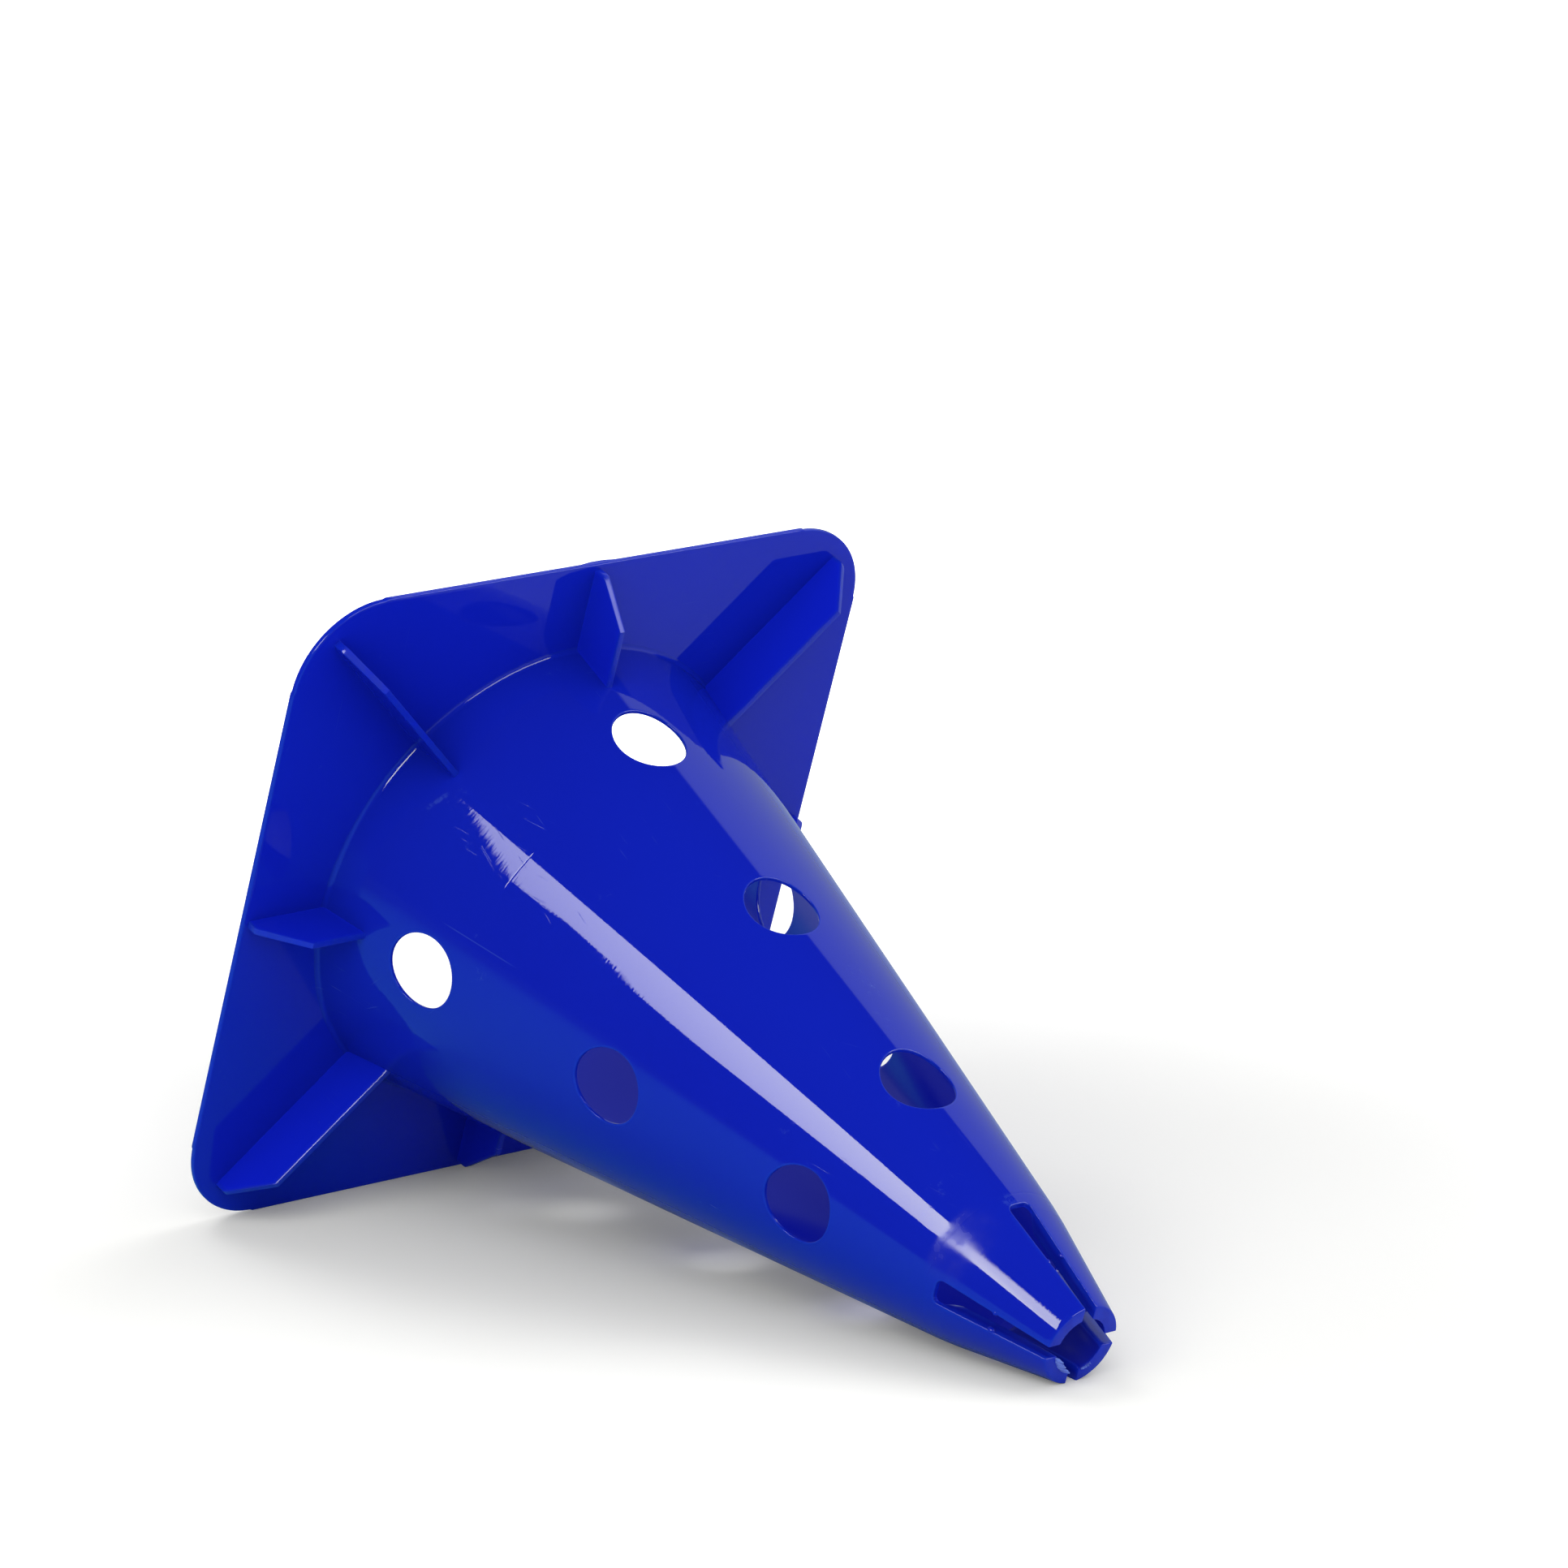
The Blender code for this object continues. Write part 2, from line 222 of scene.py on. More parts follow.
def join(tree, source, target):
    tree.links.new(source, target)


def fill(tree, slots, values):
    """Joins each slot to another node's socket, or sets it to a plain value."""
    for slot, value in zip(slots, values):
        if isinstance(value, bpy.types.NodeSocket):
            join(tree, value, slot)
        else:
            slot.default_value = value


def give(tree, node, **settings):
    """Settings named after a node's sockets fill them, and the rest are set on the node."""
    for key, value in settings.items():
        if hasattr(node, key):
            setattr(node, key, value)
        else:
            fill(tree, [node.inputs[key.replace("_", " ")]], [value])
    return node


def add(tree, kind, **settings):
    return give(tree, tree.nodes.new(kind), **settings)


def maths(tree, operation, *values, clamp=False):
    """Adds a Math node on numbers or sockets and returns its output."""
    node = add(tree, "ShaderNodeMath", operation=operation, use_clamp=clamp)
    fill(tree, node.inputs, values)
    return node.outputs[0]


def times(tree, first, *more):
    for value in more:
        first = maths(tree, "MULTIPLY", first, value)
    return first


def times_plus(tree, a, b, c):
    return maths(tree, "MULTIPLY_ADD", a, b, c)


def minus(tree, a, b):
    return maths(tree, "SUBTRACT", a, b)


def axes(tree, where):
    """The three coordinates of a place."""
    return add(tree, "ShaderNodeSeparateXYZ", Vector=where).outputs


def vector_maths(tree, operation, where, other=ORIGIN):
    """A number from two vectors, such as their dot product or distance."""
    node = add(tree, "ShaderNodeVectorMath", operation=operation)
    fill(tree, node.inputs, (where, other))
    return node.outputs["Value"]


def noise(tree, where, scale, detail=2.0, roughness=0.5):
    node = add(tree, "ShaderNodeTexNoise", Vector=where, Scale=scale, Detail=detail, Roughness=roughness)
    return node.outputs["Fac"]


def ramp(tree, value, low, high, start=0.0, end=1.0, kind="SMOOTHSTEP"):
    """Maps a value from low..high to start..end, with soft ends unless kind is LINEAR."""
    node = add(tree, "ShaderNodeMapRange", interpolation_type=kind, Value=value,
               From_Min=low, From_Max=high, To_Min=start, To_Max=end)
    return node.outputs["Result"]


def stretch(tree, where, scale, turn=ORIGIN):
    return add(tree, "ShaderNodeMapping", Vector=where, Scale=scale, Rotation=turn).outputs["Vector"]


def blend_colour(tree, mask, low, high):
    node = add(tree, "ShaderNodeMix", data_type="RGBA")
    slots = [s for s in node.inputs if s.type == "RGBA"]
    fill(tree, [node.inputs["Factor"]] + slots, (mask, low, high))
    return [s for s in node.outputs if s.type == "RGBA"][0]


def group(kind, name, inputs, outputs):
    """A node group with named sockets; inputs map a name to its default, or else to its kind."""
    tree = bpy.data.node_groups.new(name, kind)
    for label, default in inputs.items():
        plain = SOCKETS.get(type(default))
        socket = tree.interface.new_socket(name=label, in_out="INPUT", socket_type=plain or default)
        if plain:
            socket.default_value = default
    for label, socket_type in outputs.items():
        tree.interface.new_socket(name=label, in_out="OUTPUT", socket_type=socket_type)
    return tree, tree.nodes.new("NodeGroupInput").outputs, tree.nodes.new("NodeGroupOutput").inputs


def effect_group(name, sizes, *masks):
    """A shader effect at a place, with its sizes, that gives heights or masks."""
    outputs = {label: SOCKETS[float] for label in masks}
    return group("ShaderNodeTree", name, {"Where": ORIGIN, **sizes}, outputs)


def moulded_skin_group():
    """Height in millimetres of a moulding's slow waviness, fine peel and the mould's turning lines."""
    sizes = {"Wave": 0.1, "Peel": 0.0006, "Turning": 0.008}
    tree, given, out = effect_group("moulded_skin", sizes, "Height")
    where = given["Where"]
    height = times(tree, noise(tree, where, WAVE_SCALE, 1.0), given["Wave"])
    height = times_plus(tree, noise(tree, where, PEEL_SCALE), given["Peel"], height)
    lines = noise(tree, stretch(tree, where, TURNING_STRETCH), 1.0)
    join(tree, times_plus(tree, lines, given["Turning"], height), out["Height"])
    return tree


def scratches_group():
    """Masks of fine straight scratches and of small dull scuffs."""
    tree, given, out = effect_group("handling_scratches", {"Amount": 1.0}, "Lines", "Scuffs")
    where, amount = given["Where"], given["Amount"]
    hairs = []
    for turn, scale in HAIR_RUNS:
        hairs.append(ramp(tree, noise(tree, stretch(tree, where, scale, turn), 1.0, 1.0), *HAIRS))
    patch = ramp(tree, noise(tree, where, PATCH_SCALE), *PATCHES)
    join(tree, times(tree, maths(tree, "MAXIMUM", *hairs), patch, amount), out["Lines"])
    grain = ramp(tree, noise(tree, where, *GRAIN_NOISE), *GRAINS)
    spots = ramp(tree, noise(tree, where, SPOT_SCALE), *SPOTS)
    join(tree, times(tree, grain, spots, amount), out["Scuffs"])
    return tree


def edge_wear_and_highlight_group():
    """Mask of the paler edges, partly rubbed wear and partly a painted edge highlight, from the pieces' own
    rim marks.
    """
    tree, given, out = effect_group("edge_wear_and_highlight", {"Strength": 1.0}, "Mask")
    mark = add(tree, "ShaderNodeAttribute", attribute_name="rim")
    edge = ramp(tree, mark.outputs["Fac"], *EDGE_MARKS)
    broken = ramp(tree, noise(tree, given["Where"], *EDGE_NOISE), *EDGE_BREAKS)
    worn = maths(tree, "MULTIPLY", times(tree, edge, broken), given["Strength"], clamp=True)
    join(tree, worn, out["Mask"])
    return tree


MOULDED_SKIN = moulded_skin_group()
SCRATCHES = scratches_group()
EDGE_WEAR_AND_HIGHLIGHT = edge_wear_and_highlight_group()


def cone_place(tree):
    """Object coordinates turned to stand along the cone's own axis."""
    where = tree.nodes.new("ShaderNodeTexCoord").outputs["Object"]
    turn = (0.0, QUARTER + LEAN, 0.0)
    return add(tree, "ShaderNodeMapping", vector_type="TEXTURE",
               Vector=where, Location=AXIS_FOOT, Rotation=turn).outputs["Vector"]


def light_path(tree, ray):
    return tree.nodes.new("ShaderNodeLightPath").outputs[ray]


def blue_plastic(name, wave, turning, scratched, rubbed, marked=None, edge=PALE_BLUE,
                 worn=0.0, clear=1.0, through=1.0):
    """The plastic of one kind of piece.

    wave and turning are heights in millimetres, scratched an amount of wear, rubbed the amount of
    the paler edges, which are partly rubbed wear and partly a painted edge highlight, marked a
    function that gives the masks of a piece's own marks, edge the colour and worn the dullness of
    those edges, clear a painted brightening of the blue that stands in for more light on a piece,
    and through the strength of a painted glow on the deep inside faces that stands in for light
    passing through a thin wall.
    """
    material = bpy.data.materials.new(name)
    material.use_nodes = True
    tree = material.node_tree
    shader = tree.nodes["Principled BSDF"]
    where = cone_place(tree)
    effect = "ShaderNodeGroup"
    skin = add(tree, effect, node_tree=MOULDED_SKIN, Where=where, Wave=wave, Turning=turning)
    marks = add(tree, effect, node_tree=SCRATCHES, Where=where, Amount=scratched)
    edge_wear_and_highlight_mask = add(tree, effect, node_tree=EDGE_WEAR_AND_HIGHLIGHT, Where=where, Strength=rubbed).outputs["Mask"]
    cloud = ramp(tree, noise(tree, where, *CLOUD_NOISE), *CLOUDS, end=CLOUDS_SHOW)
    # clear raises the blue of the deep colour: a painted brightening that stands in for more light on a
    # piece.
    deep = (DEEP_BLUE[0], DEEP_BLUE[1], DEEP_BLUE[2] * clear, 1.0)
    body = blend_colour(tree, cloud, deep, PALE_BLUE)
    # Faces more than about a millimetre deep into the wall take a darker blue: painted shade. These are the
    # inner skin and the deep parts of hole and slit faces.
    depth = add(tree, "ShaderNodeAttribute", attribute_name="depth")
    inside = ramp(tree, depth.outputs["Fac"], *INSIDE_DEPTH)
    body = blend_colour(tree, inside, body, INSIDE_PAINTED_SHADE_BLUE)
    # Paler edges from the rim marks: partly rubbed wear, partly a painted edge highlight.
    body = blend_colour(tree, edge_wear_and_highlight_mask, body, edge)

    scuffed = maths(tree, "MAXIMUM", marks.outputs["Lines"], marks.outputs["Scuffs"])
    scuffed = times(tree, scuffed, minus(tree, 1.0, inside))
    rough = times_plus(tree, scuffed, SCUFFS_DULL, times_plus(tree, inside, INSIDE_DULLS, POLISH))
    rough = times_plus(tree, edge_wear_and_highlight_mask, worn, rough)
    height = times_plus(tree, marks.outputs["Lines"], -SCRATCH_DEPTH, skin.outputs["Height"])
    if marked is not None:
        dull, crease, whitened = marked(tree, where)
        scuffed = maths(tree, "MAXIMUM", scuffed, whitened)
        rough = times_plus(tree, dull, RUBBING_DULLS, rough)
        join(tree, times_plus(tree, dull, RUBBED_LINES, turning), skin.inputs["Turning"])
        height = times_plus(tree, crease, -CREASE_DEPTH, height)

    colour = blend_colour(tree, times(tree, scuffed, SCUFFS_SHOW), body, SCUFF_BLUE)
    seen = blend_colour(tree, light_path(tree, "Is Diffuse Ray"), colour, CAST_BLUE)
    bump = add(tree, "ShaderNodeBump", Strength=1.0, Distance=BUMP_UNIT, Height=height)
    # The deep inside faces glow faintly: a painted glow, not a lamp, that stands in for light passing through
    # the thin wall.
    give(tree, shader, Base_Color=seen, Roughness=rough, Normal=bump.outputs["Normal"],
         Emission_Color=blend_colour(tree, inside, BLACK, PAINTED_GLOW_BLUE), Emission_Strength=through)
    return material


def finish_piece(piece, body, *nodes):
    """Says which body a finished piece rides on and which solids it stands for."""
    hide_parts(*nodes)
    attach(piece, body)


# The plate's blue is raised by clear: a painted brightening that stands in for more light on it.
plate_plastic = blue_plastic(
    "plate_plastic", wave=0.06, turning=0.0, scratched=0.6, rubbed=0.8, clear=1.25)
foot_plate.data.materials.append(plate_plastic)
finish_piece(foot_plate, "cone", "base_plate")


# Cone wall. The hollow cone is one thin wall that tapers evenly to a shoulder, where it
# thickens, and then more steeply, with a fillet at its foot. Twelve round pole holes go
# through it square to the axis, with edges just rounded, and four slits start at its top.

BASE_RADIUS = 0.0870
SHOULDER_RADIUS = 0.0277
SHOULDER_HEIGHT = 0.2605
TIP_RADIUS = 0.0145
TIP_HEIGHT = 0.3040
SHOULDER_SOFTNESS = 0.00026
WALL_THICK = 0.0013
COLLAR_THICK = 0.0022
THICKENING = (0.2570, 0.0070)
CREASE_HEIGHT = 0.2575
CREASE_HALF = 0.0003
RUBBED_START = (0.2555, 0.2578)
RUBBED_CLEARING = (0.2595, 0.2760, 1.0, 0.10)
RUBBED_NOISE, RUBBED_WANDER = (150.0, 3.0), 0.004
PATCHY_NOISE, PATCHY = (170.0, 3.0), (0.35, 0.65, 0.6, 1.3)
WHITENED_GRAINS = (0.40, 0.60)
RUBBED_SPOT = (-0.0160, -0.0207, 0.2630)
WHITENED_SPOT = (-0.0270, -0.0022, 0.2595)
ARC_SPOT = (-0.0450, -0.0583, 0.0602)
ARC_HALF = 0.00018
HAIR_SHOWS = 0.85
HAIR_SCRATCH = ((-0.0197, -0.0746, 0.0450), (-0.0194, -0.0662, 0.0804), (-0.824, 0.553, -0.123), 0.0003)
FOOT_SMEAR = ((-0.0464, -0.0687, 0.0199), (-0.0540, -0.0621, 0.0231), (-0.598, -0.324, -0.733), 0.0011)
FOOT_FILLET = 0.0018
FOOT_SKIRT = 0.0004
FIRST_STEP = 0.0002
HOLE_RADIUS = 0.0130
HOLE_HEIGHTS = (0.0450, 0.1250, 0.2050)
HOLE_ROUND = 0.00035
COLUMN_HALF = 0.0170
NOTCH_COLUMN_HALF = 0.0100
NOTCH_FOOT = 0.2495
COLUMN_CELLS = 16
SECTOR_CELLS = 18
PATCH_LAYERS, PATCH_GAP, PATCH_CROWDING = 5, 0.0006, 1.2
NOTCH_LAYERS, NOTCH_GAP, NOTCH_CROWDING = 7, 0.0004, 1.3
FACE_RIM_MARK = 0.3
ROW_PITCH = 0.0040
SINK = 0.00015
SLIT_ROOT = 0.2615
SLIT_ROOT_HALF = 0.0042
SLIT_TIP_HALF = 0.0022
SLIT_CORNER = 0.0020
WALL_TOP = 0.2645


def lower_radius(height):
    slope = (SHOULDER_RADIUS - BASE_RADIUS) / (SHOULDER_HEIGHT - PLATE_THICK)
    return SHOULDER_RADIUS + slope * (height - SHOULDER_HEIGHT)


def wall_thickness(height):
    """The wall thickens across the shoulder."""
    share = min(max((height - THICKENING[0]) / THICKENING[1], 0.0), 1.0)
    return WALL_THICK + (COLLAR_THICK - WALL_THICK) * share


class Sheet:
    """Points of a wall on its flat pattern: column, place across it, share of the sector, height, depth."""

    def __init__(self):
        self.rows = []
        self.faces = []

    def point(self, column, across, share, height, depth, rim=0.0):
        self.rows.append((column, across, share, height, depth, rim))
        return len(self.rows) - 1

    def band(self, first, second):
        """Joins two rows of points with quads."""
        for i in range(len(first) - 1):
            self.faces.append((first[i], first[i + 1], second[i + 1], second[i]))

    def piece(self, name):
        columns = np.array(self.rows)
        mesh = bpy.data.meshes.new(name)
        mesh.from_pydata(columns[:, [1, 3, 4]].tolist(), [], self.faces)
        for index, label in enumerate(("column", "across", "share", "height", "depth", "rim")):
            mark = mesh.attributes.new(label, "FLOAT", "POINT")
            mark.data.foreach_set("value", columns[:, index].astype(np.float32))
        piece = bpy.data.objects.new(name, mesh)
        bpy.context.collection.objects.link(piece)
        return piece


def geometry_group(name, sizes):
    """A geometry node group with Geometry in and out, named sizes and a Material."""
    inputs = {"Geometry": "NodeSocketGeometry", **sizes, "Material": "NodeSocketMaterial"}
    tree, given, out = group("GeometryNodeTree", name, inputs, {"Geometry": "NodeSocketGeometry"})
    tree.is_modifier = True
    return tree, given, out


def named(tree, label):
    node = add(tree, "GeometryNodeInputNamedAttribute", data_type="FLOAT", Name=label)
    return node.outputs["Attribute"]


def vector(tree, x, y, z):
    return add(tree, "ShaderNodeCombineXYZ", X=x, Y=y, Z=z).outputs["Vector"]


def round_axis(tree, reach, turn, height):
    """A place at a height, at some reach from the cone's axis and turned about it."""
    x = times(tree, reach, maths(tree, "COSINE", turn))
    y = times(tree, reach, maths(tree, "SINE", turn))
    return vector(tree, x, y, height)


def end_tree(tree, geometry, given, out):
    """Tips upright geometry over to lie as the cone lies, makes it real and gives it its material."""
    lain = add(tree, "GeometryNodeTransform", Geometry=geometry,
               Translation=AXIS_FOOT, Rotation=Euler((0.0, QUARTER + LEAN, 0.0)))
    real = add(tree, "GeometryNodeRealizeInstances", Geometry=lain.outputs["Geometry"])
    coat = add(tree, "GeometryNodeSetMaterial", Geometry=real.outputs["Geometry"], Material=given["Material"])
    join(tree, coat.outputs["Geometry"], out["Geometry"])


def wall_radius(tree, given, height):
    """Outside radius at a height: the lesser of two tapers, softly joined at the shoulder."""
    rise = minus(tree, height, given["Shoulder height"])
    tapers = []
    for radius, end in (("Base radius", "Plate thickness"), ("Tip radius", "Tip height")):
        run = minus(tree, given["Shoulder height"], given[end])
        drop = minus(tree, given["Shoulder radius"], given[radius])
        slope = maths(tree, "DIVIDE", drop, run)
        tapers.append(times_plus(tree, rise, slope, given["Shoulder radius"]))
    return maths(tree, "SMOOTH_MIN", *tapers, given["Shoulder softness"])


TAPERS = {
    "Base radius": BASE_RADIUS,
    "Plate thickness": PLATE_THICK,
    "Shoulder radius": SHOULDER_RADIUS,
    "Shoulder height": SHOULDER_HEIGHT,
    "Shoulder softness": SHOULDER_SOFTNESS,
    "Tip radius": TIP_RADIUS,
    "Tip height": TIP_HEIGHT,
}


def rolled_wall_tree():
    """Rolls a flat pattern round the cone's axis by its tapers and lays it down."""
    tree, given, out = geometry_group("rolled_wall", TAPERS)
    height = named(tree, "height")
    reach = minus(tree, wall_radius(tree, given, height), named(tree, "depth"))
    side = maths(tree, "ARCSINE", maths(tree, "DIVIDE", named(tree, "across"), reach))
    sector = times_plus(tree, side, -2.0, QUARTER)
    swept = times_plus(tree, named(tree, "share"), sector, side)
    turn = times_plus(tree, named(tree, "column"), QUARTER, swept)
    move = add(tree, "GeometryNodeSetPosition", Geometry=given["Geometry"],
               Position=round_axis(tree, reach, turn, height))
    end_tree(tree, move.outputs["Geometry"], given, out)
    return tree


ROLLED_WALL = rolled_wall_tree()


def grown(piece, tree, material, **sizes):
    """Puts a tree on a piece, sets its inputs, and keeps the result as a plain mesh."""
    modifier = piece.modifiers.new(tree.name, "NODES")
    modifier.node_group = tree
    sockets = {s.name: s.identifier for s in tree.interface.items_tree if s.in_out == "INPUT"}
    modifier[sockets["Material"]] = material
    for label, value in sizes.items():
        modifier[sockets[label.replace("_", " ")]] = value
    bpy.context.view_layer.update()
    graph = bpy.context.evaluated_depsgraph_get()
    mesh = bpy.data.meshes.new_from_object(piece.evaluated_get(graph))
    mesh.name = piece.name
    piece.modifiers.clear()
    piece.data = mesh
    return piece


def foot_rows():
    """Heights and outward reach of the fillet at the wall's foot, from the plate upwards."""
    rows = []
    lean = math.atan((BASE_RADIUS - SHOULDER_RADIUS) / (SHOULDER_HEIGHT - PLATE_THICK))
    middle = PLATE_THICK + FOOT_FILLET
    centre = lower_radius(middle) + FOOT_FILLET / math.cos(lean)
    for i in range(8):
        angle = math.pi * 1.5 - (QUARTER - lean) * i / 7
        height = middle + FOOT_FILLET * math.sin(angle)
        reach = centre + FOOT_FILLET * math.cos(angle)
        rows.append((height, reach - lower_radius(height)))
    rows.insert(0, (PLATE_THICK - SINK, rows[0][1] + FOOT_SKIRT))
    return rows


def spaced(low, high, pitch):
    count = max(2, int(round((high - low) / pitch)))
    return [low + (high - low) * i / count for i in range(count + 1)]


def wall_heights():
    """Heights of the wall's rows of points between the hole patches, with the fillet's below."""
    rows = []
    low = foot_rows()[-1][0]
    for height in HOLE_HEIGHTS:
        rows.append(spaced(low, height - COLUMN_HALF, ROW_PITCH))
        low = height + COLUMN_HALF
    rows.append(spaced(low, NOTCH_FOOT, ROW_PITCH))
    rows[0].insert(1, rows[0][0] + FIRST_STEP)
    return rows


def column_half(height):
    """Half width of the strips of wall that hold the holes, narrower above them."""
    start = HOLE_HEIGHTS[-1] + COLUMN_HALF
    share = min(max((height - start) / (NOTCH_FOOT - start), 0.0), 1.0)
    return COLUMN_HALF + (NOTCH_COLUMN_HALF - COLUMN_HALF) * share


def patch_side():
    """Heights of the patch's side rows, the same steps as across."""
    return [COLUMN_HALF * (2 * i / COLUMN_CELLS - 1) for i in range(COLUMN_CELLS + 1)]


def square_ring():
    """Points round the square patch, anticlockwise from its lower left corner."""
    steps = patch_side()
    ring = [(a, -COLUMN_HALF) for a in steps[:-1]]
    ring += [(COLUMN_HALF, a) for a in steps[:-1]]
    ring += [(a, COLUMN_HALF) for a in reversed(steps[1:])]
    ring += [(-COLUMN_HALF, a) for a in reversed(steps[1:])]
    return ring


def rim_section(radius_round, thick):
    """Inset, depth and rim mark through a wall's thickness, with both edges rounded."""
    rows = []
    for i in range(4):
        angle = QUARTER * i / 3
        rows.append((radius_round * (1 - math.sin(angle)), radius_round * (1 - math.cos(angle)), 1.0))
    rows.append((0.0, thick / 2, FACE_RIM_MARK))
    rows += [(inset, thick - depth, mark) for inset, depth, mark in reversed(rows[:4])]
    return rows


def add_hole(sheet, column, middle):
    """A square patch of wall round a pole hole, on both skins, and the hole's own wall."""
    ring = square_ring()
    start = HOLE_RADIUS + HOLE_ROUND + PATCH_GAP
    loops = []
    for layer in range(PATCH_LAYERS + 1):
        share = (layer / PATCH_LAYERS) ** PATCH_CROWDING
        grow = [1 + (start / math.hypot(x, y) - 1) * share for x, y in ring]
        loops.append([(x * k, y * k, 0.0) for (x, y), k in zip(ring, grow)])
    section = []
    for inset, depth, mark in rim_section(HOLE_ROUND, WALL_THICK):
        reach = HOLE_RADIUS + inset
        loop = []
        for x, y in ring:
            loop.append((reach * x / math.hypot(x, y), reach * y / math.hypot(x, y), mark))
        section.append((loop, depth))
    skin = [(loop, 0.0) for loop in loops]
    inner = [(loop, WALL_THICK) for loop in reversed(loops)]
    indices = []
    for loop, depth in skin + section + inner:
        indices.append([sheet.point(column, x, 0.0, middle + y, depth, mark) for x, y, mark in loop])
    for first, second in zip(indices, indices[1:]):
        sheet.band(first + first[:1], second + second[:1])


def notch_line():
    """Half of the slit's root seen from outside, from its middle round the corner to the wall's top."""
    line = [(SLIT_ROOT_HALF - SLIT_CORNER) * i / 3 for i in range(3)]
    line = [(x, SLIT_ROOT, 0.0, -1.0) for x in line]
    for i in range(7):
        angle = -QUARTER + QUARTER * i / 6
        line.append((
            SLIT_ROOT_HALF - SLIT_CORNER + SLIT_CORNER * math.cos(angle),
            SLIT_ROOT + SLIT_CORNER + SLIT_CORNER * math.sin(angle),
            math.cos(angle),
            math.sin(angle),
        ))
    line.append((SLIT_ROOT_HALF, WALL_TOP, 1.0, 0.0))
    mirrored = [(-x, y, -nx, ny) for x, y, nx, ny in reversed(line[1:])]
    return mirrored + line


def add_notch(sheet, column):
    """The column's topmost patch, on both skins, round the root of the slit."""
    line = notch_line()
    wide = NOTCH_COLUMN_HALF
    middle = (WALL_TOP + NOTCH_FOOT) / 2
    outer = [(-wide, WALL_TOP), (-wide, middle)]
    outer += [(wide * (2 * i / COLUMN_CELLS - 1), NOTCH_FOOT) for i in range(COLUMN_CELLS + 1)]
    outer += [(wide, middle), (wide, WALL_TOP)]
    gap = HOLE_ROUND + NOTCH_GAP
    skins = []
    for layer in range(NOTCH_LAYERS + 1):
        share = 1 - (1 - layer / NOTCH_LAYERS) ** NOTCH_CROWDING
        loop = []
        for (ox, oy), (x, y, nx, ny) in zip(outer, line):
            loop.append((ox + (x + nx * gap - ox) * share, oy + (y + ny * gap - oy) * share, 0.0))
        skins.append((loop, 0.0))
    section = []
    for inset, share, mark in rim_section(HOLE_ROUND, COLLAR_THICK):
        loop = [(x + nx * inset, y + ny * inset, mark) for x, y, nx, ny in line]
        section.append((loop, share / COLLAR_THICK))
    inner = [(loop, 1.0) for loop, _ in reversed(skins)]
    indices = []
    for loop, share in skins + section + inner:
        row = [(x, 0.0, y, share * wall_thickness(y), mark) for x, y, mark in loop]
        indices.append([sheet.point(column, *point) for point in row])
    for first, second in zip(indices, indices[1:]):
        sheet.band(first, second)
    return indices


def skin_grid(sheet, column, spots, rows):
    """A grid over one column or sector: spots of (side, share) at each of the rows of (height, depth)."""
    grid = []
    for height, depth in rows:
        half = column_half(height)
        grid.append([sheet.point(column, side * half, share, height, depth) for side, share in spots])
    for first, second in zip(grid, grid[1:]):
        sheet.band(first, second)
    return grid


def build_wall():
    sheet = Sheet()
    bands = wall_heights()
    across = [(2 * i / COLUMN_CELLS - 1, 0.0) for i in range(COLUMN_CELLS + 1)]
    round_sector = [(1.0, i / SECTOR_CELLS) for i in range(SECTOR_CELLS + 1)]
    foot = [(height, -reach) for height, reach in foot_rows()]
    foot_inside = [(height, WALL_THICK) for height, _ in foot]
    sector_heights = []
    for index, band in enumerate(bands):
        sector_heights += band if index == 0 else band[1:]
        if index < len(HOLE_HEIGHTS):
            sector_heights += [HOLE_HEIGHTS[index] + a for a in patch_side()[1:]]
    sector_heights += [(WALL_TOP + NOTCH_FOOT) / 2, WALL_TOP]
    for column in range(4):
        for index, band in enumerate(bands):
            outside = [(h, 0.0) for h in band]
            inside = [(h, wall_thickness(h)) for h in band]
            if index == 0:
                outside = foot + outside[1:]
                inside = foot_inside + inside[1:]
            first = skin_grid(sheet, column, across, outside)
            second = skin_grid(sheet, column, across, inside)
            if index == 0:
                sheet.band(first[0], second[0])
        for middle in HOLE_HEIGHTS:
            add_hole(sheet, column, middle)
        notch = add_notch(sheet, column)
        for end in (0, -1):
            cap = [row[end] for row in notch]
            half = len(cap) // 2
            sheet.band(cap[:half], list(reversed(cap[-half:])))
            sheet.faces.append((cap[half - 1], cap[half], cap[half + 1]))
        outside = foot + [(h, 0.0) for h in sector_heights[1:]]
        inside = foot_inside + [(h, wall_thickness(h)) for h in sector_heights[1:]]
        first = skin_grid(sheet, column, round_sector, outside)
        second = skin_grid(sheet, column, round_sector, inside)
        sheet.band(first[0], second[0])
        sheet.band(first[-1], second[-1])
    return sheet.piece("cone_wall")


def near_spot(tree, where, spot, outside, within):
    """1 within the smaller distance of a spot on the cone, 0 outside the larger."""
    return ramp(tree, vector_maths(tree, "DISTANCE", where, spot), outside, within)


def straight_mark(tree, where, start, end, plane, half_width):
    """1 on a mark between two points of the wall, in a plane through them."""
    start, end, plane = Vector(start), Vector(end), Vector(plane)
    run = (end - start).normalized()
    fade = (end - start).length / 4
    along = vector_maths(tree, "DOT_PRODUCT", where, run)
    off = minus(tree, vector_maths(tree, "DOT_PRODUCT", where, plane), start.dot(plane))
    return times(
        tree,
        ramp(tree, along, start.dot(run), start.dot(run) + fade),
        ramp(tree, along, end.dot(run), end.dot(run) - fade),
        ramp(tree, maths(tree, "ABSOLUTE", off), half_width, half_width / 4),
    )


